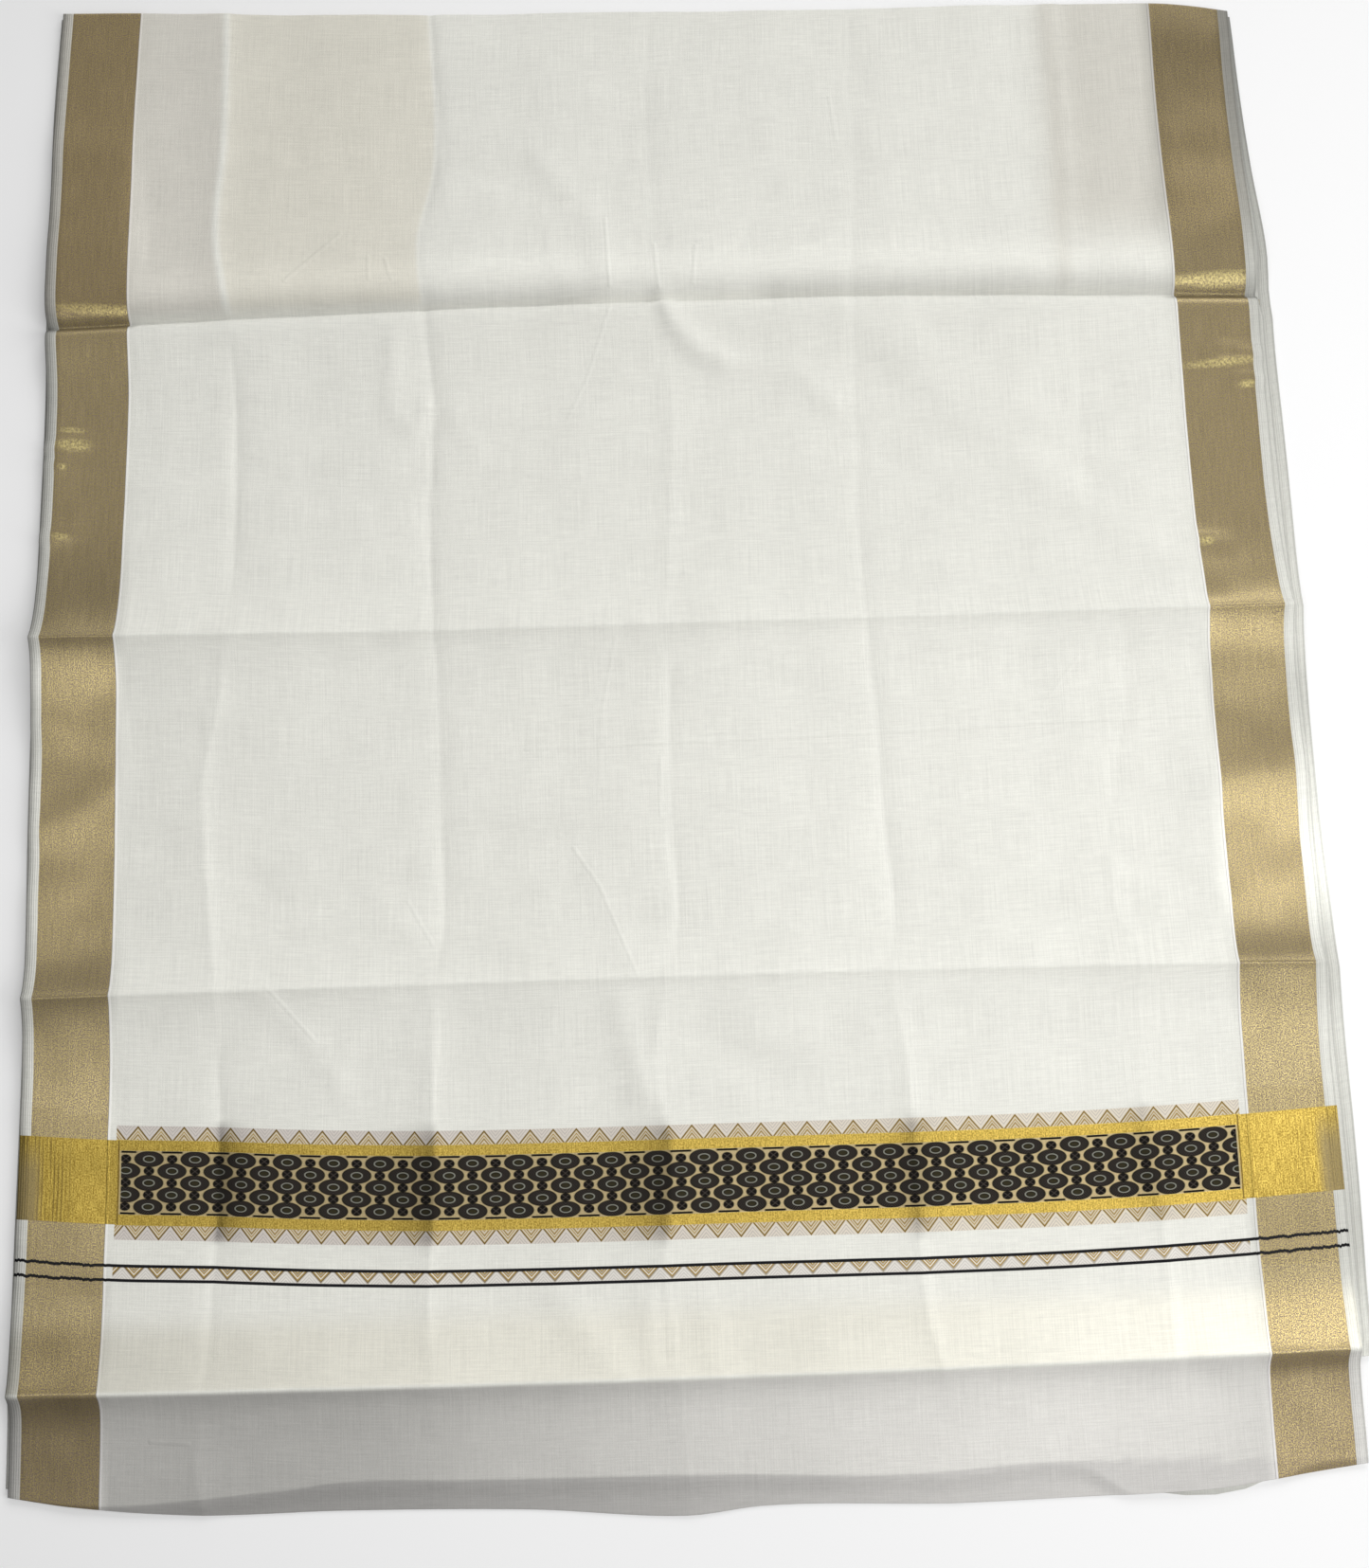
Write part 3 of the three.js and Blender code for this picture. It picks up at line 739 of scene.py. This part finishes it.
def borderMaterial():
    cloth = Cloth("gold_thread_border", cottonLook["specular"])
    cloth.stretchShine(goldLook["anisotropic"])
    colour, gold, metal, height = borderParts(cloth, cottonColour(cloth), cottonHeight(cloth))
    roughness = mixTerm(cottonLook["roughness"], goldLook["roughness"], gold)
    return cloth.finish(colour, metal, roughness, height)


def panelParts(cloth, a, b, away):
    # Rows of large ovals, every other row moved by half a pitch, with small ovals between. Gives the dark
    # forms, the hatching on them, the rings and their hearts.
    look = bandLook
    space = look["rowSpace"]
    darks, hatches, rings, hearts = [], [], [], []
    for shift in (0.0, 1.0):
        evenA = (a - look["start"] - shift * look["pitch"] / 2).wrapped(look["pitch"])
        oddA = (a - look["start"] - (1 - shift) * look["pitch"] / 2).wrapped(look["pitch"])
        rowB = (b - shift * space).wrapped(2 * space)
        inRows = away.ramp(space * (2.8 - shift), space * (2.7 - shift))
        large = oval(evenA, rowB, look["largeOval"], 0.05) * inRows
        small = oval(oddA, rowB, look["smallOval"], 0.10) * inRows
        lines = stripe((evenA.size() - rowB.size()).wrapped(look["hatch"]), 0.0, look["hatchLine"], 0.5)
        cross = stripe(oddA.size() * 0.75 - rowB.size(), 0.0, 0.7, 0.5) * small
        outside = oval(evenA, rowB, look["ring"], 0.08)
        lines = lines * large * (1 - outside) * oval(evenA, rowB, look["hatchOval"], 0.06)
        if shift:
            cap = stripe(away, look["panel"] - look["capDepth"] / 2, look["capDepth"], 0.5)
            large = large.most(cap * evenA.size().ramp(look["capReach"], look["capReach"] - 2.0))
        darks.append(large.most(small))
        hatches.append(lines.most(cross))
        rings.append(oval(evenA, rowB, look["ring"], 0.10) - oval(evenA, rowB, look["ringInside"], 0.12))
        hearts.append(oval(evenA, rowB, look["heart"], 0.12))
    return mostOf(darks), mostOf(hatches), mostOf(rings), mostOf(hearts)


def bandMaterial():
    # The woven end band: an oval panel between gold bands and zigzag strips, and a pair of black lines below
    look = bandLook
    cloth = Cloth("woven_end_band", look["specular"])
    colour, gold, borderMetal, height = borderParts(cloth, cottonColour(cloth), cottonHeight(cloth))
    a = cloth.u
    b = cloth.v - look["centre"]
    away = b.size()
    across = a.size()
    # rightward is 0 on the left and 1 on the right; the band's colours use it for painted light, lighter
    # towards the right
    rightward = a.ramp(-420, 420)
    inField = across.ramp(look["panelEnd"] + 4.0, look["panelEnd"] + 3.4)

    # Zigzag strips: pale mauve, with nested chevrons that stand on the gold bands
    zigzagPitch = look["pitch"] / 2
    space = look["chevronSpace"]
    stripStart = look["panel"] + look["goldBand"]
    strip = stripe(away, stripStart + look["zigzag"] / 2, look["zigzag"], 0.6) * inField
    slope = zigzagPitch / 2 / look["zigzag"]
    fromApex = (a - look["start"] - look["pitch"] / 4).wrapped(zigzagPitch).size()
    chevron = fromApex + (away - stripStart) * slope
    inChevron = chevron.under(look["chevronReach"], 0.2)
    goldLines = stripe(chevron.wrapped(space), space / 2 - 0.2, look["goldLine"], thinSoft)
    innerBrown = stripe(chevron, look["innerBrown"], 1.0, thinSoft) * look["innerShare"]
    brownLine = stripe(chevron, look["outerBrown"], 1.5, thinSoft).most(innerBrown)
    outside = chevron.ramp(look["paleFrom"] - 0.3, look["paleFrom"] + 0.3)
    paleLines = stripe(chevron.wrapped(space), 0.0, look["paleLine"], 0.6) * outside
    stripColour = cloth.layered(
        look["strip"], (rightward, look["stripRight"]), (paleLines * 0.55, look["stripLine"]),
        (inChevron, look["chevronGap"]), (goldLines.most(brownLine) * inChevron, look["threadGold"]),
        (brownLine * (0.85 - rightward * 0.25), look["brown"]),
    )
    colour = cloth.blend(strip, colour, stripColour)

    # Gold bands and, on the borders, the gold block that takes their whole height
    bands = stripe(away, look["panel"] + look["goldBand"] / 2, look["goldBand"], 0.5) * inField
    block = across.ramp(look["panelEnd"] - 0.4, look["panelEnd"] + 0.2)
    block = block * away.under(look["blockHalf"], 0.3)
    bandGold = bands.most(block)
    glint = cloth.noise(1.2, 1.6, 1.0, 0.5, 31.0)
    thread = cloth.noise(1.1, 13, 1.0, 0.5, 35.0)
    glitter = (glint * 0.65 + thread * 0.35).ramp(0.30, 0.70)
    ribbed = a.ramp(-540, -560).most(across.ramp(548, 560) * look["ribRight"])
    ribs = (a.threads(look["ribPitch"]) * 0.5 + 0.5).ramp(0.35, 1.0) * ribbed
    ribs = ribs * cloth.noise(6, 60, 1.0, 0.5, 33.0).ramp(0.3, 0.6)
    dull = across.ramp(look["dullFrom"] - 5.0, look["dullFrom"] + 7.0) * b.ramp(40, 0)
    bandColour = cloth.layered(
        look["goldLow"], (glitter, look["goldHigh"]), (ribs * look["ribShare"], look["ribColour"]),
        (dull * look["dullShare"], look["dullGold"]),
    )
    # Painted light: the band's gold is darker on the left
    bandColour = cloth.scaled(bandColour, look["leftLight"] + rightward * (1 - look["leftLight"]))
    colour = cloth.blend(bandGold, colour, bandColour)

    # The panel
    inPanel = away.under(look["panel"], 0.2)
    panel = inPanel * across.ramp(look["panelEnd"], look["panelEnd"] - 0.6)
    dark, hatch, rings, hearts = panelParts(cloth, a, b, away)
    groundNoise = cloth.noise(1.0, 1.0, 1.0, 0.5, 41.0).ramp(0.35, 0.65)
    panelColour = cloth.scaled(look["ground"], 0.72 + groundNoise * 0.28 + rightward * 0.22)
    panelColour = cloth.layered(
        panelColour, (dark, look["dark"]), (hatch * 0.75, look["hatchColour"]), (rings, look["ringColour"]),
        (hearts, look["heartColour"]),
    )
    inBlock = away.ramp(look["blockHalf"], look["blockHalf"] - 0.5)
    endLine = stripe(across, look["panelEnd"] + 1.4, 1.2, thinSoft) * inBlock
    paleLine = stripe(across, look["panelEnd"] - 0.2, 1.4, thinSoft) * inPanel
    colour = cloth.layered(
        colour, (panel, panelColour), (endLine * 0.8, look["brown"]), (paleLine, look["ground"])
    )

    # The pair of black lines, with small gold chevrons hanging between them in the field
    high, low = look["blackLines"]
    ragged = (cloth.noise(4.2, 500, 2.0, 0.7, 51.0) - 0.5) * look["ragged"] * across.ramp(508, 520)
    fromHigh = cloth.v - high + ragged
    fromLow = cloth.v - low + ragged
    between = fromHigh.ramp(0.0, -1.0) * fromLow.ramp(0.0, 1.0) * inField
    hanging = fromApex - fromHigh * (slope * look["hungSlope"])
    gap = zigzagPitch / 2
    inHung = hanging.under(gap, 0.3)
    hungGold = stripe(hanging.wrapped(space), 0.0, look["hungGold"], 0.5) * inHung
    hungInner = stripe(hanging, gap - look["hungInner"], 1.2, 0.5) * 0.7
    hungBrown = stripe(hanging, gap - look["hungBrown"], 1.4, 0.5).most(hungInner)
    hungPale = stripe(hanging.wrapped(space), 0.0, look["paleLine"], 0.6) * (1 - inHung)
    betweenColour = cloth.layered(
        look["hungGround"], (hungPale * 0.4, look["stripLine"]), (hungGold, look["threadGold"]),
        (hungBrown * (0.9 - rightward * 0.4), look["brown"]),
    )
    black = mostOf([stripe(line, 0.0, look["blackWidth"], 0.6) for line in (fromHigh, fromLow)])
    colour = cloth.layered(colour, (between, betweenColour), (black, look["black"]))

    chevronGold = (strip * goldLines * inChevron).most(between * hungGold)
    bandMetal = bandGold * (glitter * 0.5 + 0.3) * (1 - dull * 0.5)
    metal = bandMetal.most(chevronGold * 0.5).most(borderMetal * (1 - bandGold))
    metal = metal * (1 - panel) * (1 - black)
    roughness = mixTerm(cottonLook["roughness"], goldLook["roughness"], bandGold.most(gold))
    height = height + glitter * bandGold * look["blockHeight"] + panel * dark * look["panelHeight"]
    return cloth.finish(colour, metal, roughness, height + black * look["blackHeight"])


print("making the cloth's materials")
cotton = cottonMaterial()
border = borderMaterial()
band = bandMaterial()


# Top length

topCloth = dict(
    columns=188, rows=242, columnCrowd=2.8, columnReach=10.0, rowCrowd=5.0, rowReach=9.0,
    bandFrom=184.0, bandTo=333.0, borderFrom=508.0, selvedgeFrom=584.0, halfAcross=597.0,
    hemTurn=5.5, hemRadius=0.5, hemSteps=4, noseSteps=7, underLower=6.0, leastRow=1.0, leastSecondRow=4.0,
)
# How light and of what hue each stretch of the cloth is, beside white; the strip on the right is painted
# shade
stretchTint = dict(
    beige=(0.91, 0.885, 0.84), coolStrip=(0.85, 0.825, 0.805), rightShadeStrip=(0.825, 0.805, 0.785),
    beside=(0.95, 0.94, 0.93),
)
layerHue = dict(
    field=(1.0, 1.0, 1.0), warm=(1.01, 0.99, 0.945), few=(1.0, 0.985, 1.01), single=(1.0, 0.98, 1.02),
)
# Where the stretches begin and end: y of the warm low one, of the field's upper end and places of the band's
# ends, and how the painted shade on the right grows from the last cross crease and the last lengthwise crease
stretchPlace = dict(
    warmTo=-545.0, warmSoft=30.0, fieldTo=90.0, fieldSoft=40.0, bandLow=222.0, bandHigh=332.0, bandSoft=8.0,
    rightFrom=22.0, rightReach=80.0, rightWide=50.0, rightSoft=75.0, beside=9.0,
)
# Painted shade in the last cross crease: how dark it is and how far above the crease it reaches, its faint
# part, the painted lighter stretch past it and the painted line on it, darker on the gold and lighter on the
# cotton
creaseShadeLook = dict(
    depth=0.25, reach=25.0, faintX=20.0, faintHalf=100.0, faintShare=0.55,
    lighter=0.07, lighterPlace=38.0, lighterReach=16.0, goldLine=-0.5, cottonLine=0.05, lineReach=3.0,
)


def acrossAt(x, y):
    # How far across the cloth a point lies, from its middle: half its width times its share of the way
    return ((x - leftAt(y)) / (rightAt(y) - leftAt(y)) * 2 - 1) * topCloth["halfAcross"]


def sideShade(x, y):
    # Painted light and shade on the borders, and on the selvedges outside them that of both tables
    across = acrossAt(x, y)
    shade = np.ones(np.shape(x))
    for table, start, width in (
        (borderLightShade, topCloth["borderFrom"], 8), (selvedgePaintedShade, topCloth["selvedgeFrom"], 5),
    ):
        left, right = (curveThrough(table, "y", side, y) for side in ("left", "right"))
        sides = np.where(across < 0, left, right)
        shade = shade * (1 + smoothStep((np.abs(across) - start) / width) * (sides - 1))
    return shade


def clothToneAndPaintedLight(x, y):
    # Warm and cool stretches of the cloth, and painted light and shade: the grey where few lengths lie under
    # it, in the creases and on the borders. The bare divisors are the widths of soft edges.
    fourth = creaseLine(crossCreases[0], x)
    first = creaseLine(crossCreases[3], x)
    firstCrease, secondCrease, lastCrease = (curveThrough(lengthCreases[k], "y", "x", y) for k in (0, 1, 4))
    at = stretchPlace
    upper = smoothStep((y - first) / 14)
    beige = upper * smoothStep((x - firstCrease) / 5) * smoothStep((secondCrease - x) / 5)
    coolStrip = upper * smoothStep((firstCrease - x) / 8)
    # Painted shade in a strip on the right above the last cross crease, growing from the last lengthwise
    # crease
    rightShadeStrip = smoothStep((y - first - at["rightFrom"]) / at["rightReach"])
    rightShadeStrip = rightShadeStrip * smoothStep((x - lastCrease + at["rightWide"]) / at["rightSoft"])
    beside = upper * hill(x - lastCrease + at["beside"], at["beside"])
    single = smoothStep((curveThrough(shadeLine, "x", "y", x) - y) / 3)
    few = smoothStep((fourth - y) / 4) * (1 - single)
    warmLow = smoothStep((at["warmTo"] - y) / at["warmSoft"]) * smoothStep((y - fourth) / 3)
    field = smoothStep((y - fourth) / 3) * smoothStep((at["fieldTo"] - y) / at["fieldSoft"]) * (1 - warmLow)
    tone = np.ones(np.shape(x) + (3,))
    for amount, tint in zip((beige, coolStrip, rightShadeStrip, beside), stretchTint.values()):
        tone *= 1 + amount[..., None] * (np.array(tint) - 1)
    # Painted light and shade by layer: lighter towards the right between the creases and under the band, and
    # painted shade where few lengths or none lie under the cloth
    for amount, column in ((field, "field"), (warmLow, "warm"), (few, "few"), (single, "single")):
        depth = curveThrough(layerLightShade, "x", column, x)
        tone *= 1 + amount[..., None] * (depth[..., None] * np.array(layerHue[column]) - 1)

    # Painted shade in the last cross crease, dark on its line and fading above it, then a painted lighter
    # stretch and a painted line
    look = creaseShadeLook
    over = y - first
    creaseShade = np.clip(1 - over / look["reach"], 0, 1) * smoothStep((over + 0.8) / 1.6)
    faint = 1 - look["faintShare"] * smoothStep((look["faintHalf"] - np.abs(x - look["faintX"])) / 40)
    onCotton = 1 - smoothStep((np.abs(acrossAt(x, y)) - topCloth["borderFrom"]) / 8)
    line = mix(look["goldLine"], look["cottonLine"], onCotton)
    line = line * hill(over + look["lineReach"], look["lineReach"])
    lighter = look["lighter"] * hill(over - look["lighterPlace"], look["lighterReach"]) * onCotton
    tone *= ((1 - look["depth"] * creaseShade * faint) * (1 + lighter) * (1 + line))[..., None]

    # Painted light and shade on the borders and selvedges, and painted shade on the band beside the
    # lengthwise creases
    tone *= sideShade(x, y)[..., None]
    along = placeAlong(x, y)
    inBand = smoothStep((along - at["bandLow"]) / at["bandSoft"])
    inBand = inBand * smoothStep((at["bandHigh"] - along) / at["bandSoft"])
    for k, crease in enumerate(lengthCreases):
        distance = x - curveThrough(crease, "y", "x", y)
        reach = np.where(distance < 0, bandShade["left"][k], bandShade["right"][k])
        tone *= (1 - inBand * bandShade["depth"][k] * creaseForm(distance, reach))[..., None]
    return tone


def placeAlong(x, y):
    # How far a point is from the hem along the cloth, with the weft's bow taken out
    return y - hemPlace - curveThrough(weftBow, "x", "drop", x - clothCentre)


def columnShift(places, y, baseX):
    # Moves the columns so that they run along the lengthwise creases
    half = stack["halfWidth"]
    knots = np.array([-half, -520.0] + [crease["x"][5] for crease in lengthCreases] + [520.0, half])
    shifts = np.zeros((len(y), len(knots)))
    for k, crease in enumerate(lengthCreases):
        shifts[:, k + 2] = curveThrough(crease, "y", "x", y) - knots[k + 2]
    return baseX + shifts @ hatWeights(knots, places).T


def makeTopCloth():
    # A grid of columns along the cloth and rows across it. Rows run along the hem, the lower lengths' end,
    # the cross creases and the fold; then they turn round the fold in a half circle and run back underneath.
    look = topCloth
    half = stack["halfWidth"]
    columnPlaces = crowded(
        -half, half, look["columns"], [crease["x"][5] for crease in lengthCreases], look["columnReach"],
        look["columnCrowd"],
    )
    middle = [hemAt(0.0), lowerAt(0.0) - look["underLower"], lowerAt(0.0)]
    middle += [crease["middle"] for crease in crossCreases]
    middle += [float(foldAt(0.0)) - stack["foldRadius"]]
    knots = np.array([float(m) for m in middle])
    rowPlaces = crowded(
        knots[0], knots[-1], look["rows"], [knots[0]] + list(knots[2:]), look["rowReach"], look["rowCrowd"]
    )
    weights = hatWeights(knots, rowPlaces)

    def rowHeights(x):
        hem, lower = hemAt(x), lowerAt(x)
        lines = [
            hem, np.maximum(lower - look["underLower"], hem + look["leastRow"]),
            np.maximum(lower, hem + look["leastSecondRow"]),
        ]
        lines += [creaseLine(crease, x) for crease in crossCreases] + [foldAt(x) - stack["foldRadius"]]
        return blendRows(weights, lines, x)

    straight = np.broadcast_to(columnPlaces, (look["rows"], look["columns"]))
    y = rowHeights(straight)
    rowMiddles = y[:, look["columns"] // 2]
    ruled = mix(leftAt(y), rightAt(y), shareAcross(columnPlaces))
    x = ruled + columnShift(columnPlaces, rowMiddles, straight) - straight
    y = rowHeights(x)
    z = clothHeight(x, y)
    rows = [(x, y, z, placeAlong(x, y))]

    # The hem, turned under once
    turns = np.linspace(0, math.pi, look["hemSteps"] + 1)[1:]
    hemX, hemY, hemZ = x[0], y[0], z[0]
    radius = look["hemRadius"]
    turned = [(turn, 0.0) for turn in turns] + [(math.pi, look["hemTurn"] / 2), (math.pi, look["hemTurn"])]
    for turn, back in turned:
        hemRow = (
            hemX, hemY - radius * math.sin(turn) + back, hemZ - radius + radius * math.cos(turn),
            placeAlong(hemX, hemY) - radius * turn - back,
        )
        rows.insert(0, tuple(part[None, :] for part in hemRow))

    # The fold and the cloth that runs back under it
    foldX = x[-1]
    radius = stack["foldRadius"]
    start = foldAt(foldX) - radius
    centre = clothHeight(foldX, start) - radius
    after = [(math.pi * k / look["noseSteps"], 0.0) for k in range(1, look["noseSteps"] + 1)]
    after += [(math.pi, stack["foldTail"] * share) for share in (0.25, 0.5, 0.75, 1.0)]
    for turn, back in after:
        foldRow = (
            foldX, start + radius * math.sin(turn) - back, centre + radius * math.cos(turn),
            placeAlong(foldX, start) + radius * turn + back,
        )
        rows.append(tuple(part[None, :] for part in foldRow))

    x, y, z, along = (np.concatenate([row[k] for row in rows]) for k in range(4))
    rowCount, columnCount = x.shape
    across = acrossAt(x, y)
    quads = gridQuads(rowCount, columnCount)
    cellAcross = np.abs(across.ravel()[quads]).max(axis=1)
    cellAlong = along.ravel()[quads]
    inBand = (cellAlong.max(axis=1) > look["bandFrom"]) & (cellAlong.min(axis=1) < look["bandTo"])
    faceMaterial = np.where(inBand, 2, np.where(cellAcross > look["borderFrom"], 1, 0))
    points = np.stack([x, y, z], axis=2).reshape(-1, 3)
    piece = meshFromArrays("top_cloth", points, quads, [cotton, border, band], faceMaterial)
    addClothPlace(piece, across, along)
    addTone(piece, clothToneAndPaintedLight(x, y))
    thicken(piece, -1)
    return piece


print("making the top length")
topPiece = makeTopCloth()


# Folded lengths below: one sheet that runs back and forth three times

foldedCloth = dict(
    columns=50, rows=84, crowd=3.0, crowdReach=20.0, belowTop=1.5, belowFold=2.0, tableGap=0.35, lowLift=0.35,
    noseSteps=5, innerFold=8.0, foldGap=4.6, slidLeft=-3.0, alongStart=1455.0, tone=0.96, highRow=710.0,
)


def makeFoldedCloth():
    # Three lengths as rows of one grid, joined by round turns. Heights run from just under the top length
    # down to the table, and the sides are the top length's moved to the right or the left.
    look = foldedCloth
    half = stack["halfWidth"]
    places = crowded(-half, half, look["columns"], [-half, half], look["crowdReach"], look["crowd"])
    innerEdge = float(creaseLine(crossCreases[0], 0.0)) - look["innerFold"]
    rowPlaces = crowded(0, 1, look["rows"], [], 1, 0)
    rowKnots = np.array([0.0] + [
        (crease["middle"] - innerEdge) / (look["highRow"] - innerEdge) for crease in crossCreases[1:]
    ] + [1.0])
    weights = hatWeights(rowKnots, rowPlaces)

    def lengthRows(lowLine, layer, shiftRight):
        # One length, from its low end to its high end, as x, y and z
        x = np.broadcast_to(places, (look["rows"], look["columns"]))

        def rowHeights(x):
            lines = [lowLine(x)] + [creaseLine(crease, x) for crease in crossCreases[1:]]
            lines += [foldAt(x) - look["foldGap"]]
            return blendRows(weights, lines, x)

        y = rowHeights(x)
        x = mix(leftAt(y), rightAt(y), shareAcross(places)) + shiftRight(y)
        y = rowHeights(x)
        return x, y, layerHeight(x, y, layer)

    def layerHeight(x, y, layer):
        # layer 0 lies just under the top length and all that is near it, 1 midway and 2 on the table
        nearFold = smoothStep((y - foldAt(x) + 24) / 8)
        height, fullness = layersUnder(x, y)
        around = [clothHeight(x + dx, y + dy) for dx in (-20, -10, 0, 10, 20) for dy in range(-15, 16, 3)]
        onTop = np.minimum.reduce(around) - look["belowTop"] - look["belowFold"] * nearFold
        relief = np.maximum(foldRelief(x, y, fullness, finest=False), 0)
        onTable = look["tableGap"] + stack["clothThickness"] + look["lowLift"] * relief
        return [onTop, mix(onTop, onTable, 0.5), onTable][layer]

    def innerLine(x): return creaseLine(crossCreases[0], x) - look["innerFold"]
    def secondOut(y): return curveThrough(sideLines, "y", "second", y)
    def thirdOut(y): return curveThrough(sideLines, "y", "third", y)
    def slidLeft(y): return look["slidLeft"] + 0 * y

    second = lengthRows(innerLine, 0, secondOut)
    third = lengthRows(innerLine, 1, thirdOut)
    fourth = lengthRows(lowerAt, 2, slidLeft)

    def turnRows(fromRow, toRow, outward):
        # A half circle from one row to another that lies under it
        radius = (fromRow[2] - toRow[2]) / 2
        made = []
        for k in range(1, look["noseSteps"]):
            turn = math.pi * k / look["noseSteps"]
            t = (1 - math.cos(turn)) / 2
            turnX, turnY, turnZ = (mix(before, after, t) for before, after in zip(fromRow, toRow))
            made.append((turnX, turnY + outward * radius * math.sin(turn), turnZ))
        return made

    def rowOf(length, k): return tuple(part[k] for part in length)

    upward = range(look["rows"])
    rows = [rowOf(second, k) for k in reversed(upward)]
    rows += turnRows(rowOf(second, 0), rowOf(third, 0), -1)
    rows += [rowOf(third, k) for k in upward]
    rows += turnRows(rowOf(third, -1), rowOf(fourth, -1), 1)
    rows += [rowOf(fourth, k) for k in reversed(upward)]
    x, y, z = (np.stack([row[k] for row in rows]) for k in range(3))
    steps = np.hypot(np.diff(y, axis=0), np.diff(z, axis=0))
    along = look["alongStart"] + np.concatenate([np.zeros((1, x.shape[1])), np.cumsum(steps, axis=0)])
    across = np.broadcast_to(places / half * topCloth["halfAcross"], x.shape)
    quads = gridQuads(*x.shape)
    faceMaterial = np.where(np.abs(across.ravel()[quads]).max(axis=1) > topCloth["borderFrom"], 1, 0)
    points = np.stack([x, y, z], axis=2).reshape(-1, 3)
    piece = meshFromArrays("folded_cloth", points, quads[:, ::-1], [cotton, border], faceMaterial)
    addClothPlace(piece, across, along)
    # The folded lengths take the painted light and shade of the borders and selvedges, and are a little
    # darker all over
    addTone(piece, (sideShade(x, y) * look["tone"])[..., None] * np.ones(3))
    thicken(piece, 0)
    return piece


print("making the folded lengths")
foldedPiece = makeFoldedCloth()


# Floor, light and camera

floorLook = dict(size=14.0, colour=(0.93, 0.93, 0.93), roughness=0.8)
lightLook = dict(
    world=0.20, worldColour=(1.0, 1.0, 1.0),
    overheadLeft=dict(place=(-0.95, -0.31, 2.1), aim=(-0.95, -0.31, 0.0), size=(1.7, 0.94), power=9.6),
    overheadRight=dict(place=(0.75, -0.33, 2.1), aim=(0.75, -0.33, 0.0), size=(1.7, 0.98), power=16.0),
    key=dict(place=(1.4, 4.0, 2.2), aim=(0.1, 0.1, 0.0), size=(4.6, 2.2), power=112.0),
    side=dict(place=(2.9, -1.0, 1.6), aim=(0.2, 0.0, 0.0), size=(1.8, 2.2), power=52.0),
)
cameraLook = dict(
    place=(0.01077, -0.35595, 1.5354), tilt=9.973, roll=-1.842, focal=1750.0, imageHeight=1655.0,
    sensor=36.0,
)


def makeFloor():
    half = floorLook["size"] / 2 / mm
    corners = np.array([(-half, -half, 0), (half, -half, 0), (half, half, 0), (-half, half, 0)], float)
    material = bpy.data.materials.new("pale_floor")
    material.use_nodes = True
    shader = material.node_tree.nodes["Principled BSDF"]
    shader.inputs["Base Color"].default_value = (*floorLook["colour"], 1)
    shader.inputs["Roughness"].default_value = floorLook["roughness"]
    floor = meshFromArrays("floor", corners, np.array([[0, 1, 2, 3]]), [material])


def makeLight(name, look):
    light = bpy.data.lights.new(name, "AREA")
    light.shape = "RECTANGLE"
    light.size, light.size_y = look["size"]
    light.energy = look["power"]
    lamp = bpy.data.objects.new(name, light)
    lamp.location = look["place"]
    direction = Vector(look["aim"]) - Vector(look["place"])
    lamp.rotation_euler = direction.to_track_quat("-Z", "Y").to_euler()
    bpy.context.scene.collection.objects.link(lamp)


def makeCamera():
    # The camera looks down, tilted towards +Y, and is rolled a little about its own line of sight
    tilt, roll = math.radians(cameraLook["tilt"]), math.radians(cameraLook["roll"])
    forward = Vector((0, math.sin(tilt), -math.cos(tilt)))
    up = Vector((0, math.cos(tilt), math.sin(tilt)))
    right = Vector((1, 0, 0))
    rolledRight = right * math.cos(roll) + up * math.sin(roll)
    rolledUp = up * math.cos(roll) - right * math.sin(roll)
    data = bpy.data.cameras.new("camera")
    data.sensor_width = cameraLook["sensor"]
    data.lens = cameraLook["focal"] / cameraLook["imageHeight"] * cameraLook["sensor"]
    camera = bpy.data.objects.new("camera", data)
    turn = Matrix((rolledRight, rolledUp, -forward)).transposed()
    camera.matrix_world = Matrix.Translation(cameraLook["place"]) @ turn.to_4x4()
    bpy.context.scene.collection.objects.link(camera)
    bpy.context.scene.camera = camera


print("making the floor, lights and camera")
makeFloor()
for name in ("overheadLeft", "overheadRight", "key", "side"):
    makeLight(name, lightLook[name])
world = bpy.data.worlds.new("studio")
world.use_nodes = True
background = world.node_tree.nodes["Background"]
background.inputs["Color"].default_value = (*lightLook["worldColour"], 1)
background.inputs["Strength"].default_value = lightLook["world"]
bpy.context.scene.world = world
bpy.context.scene.view_settings.view_transform = "Standard"
makeCamera()

for piece, node in ((topPiece, "top_length"), (foldedPiece, "folded_lengths")):
    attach(piece, "root")
    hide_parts(node)
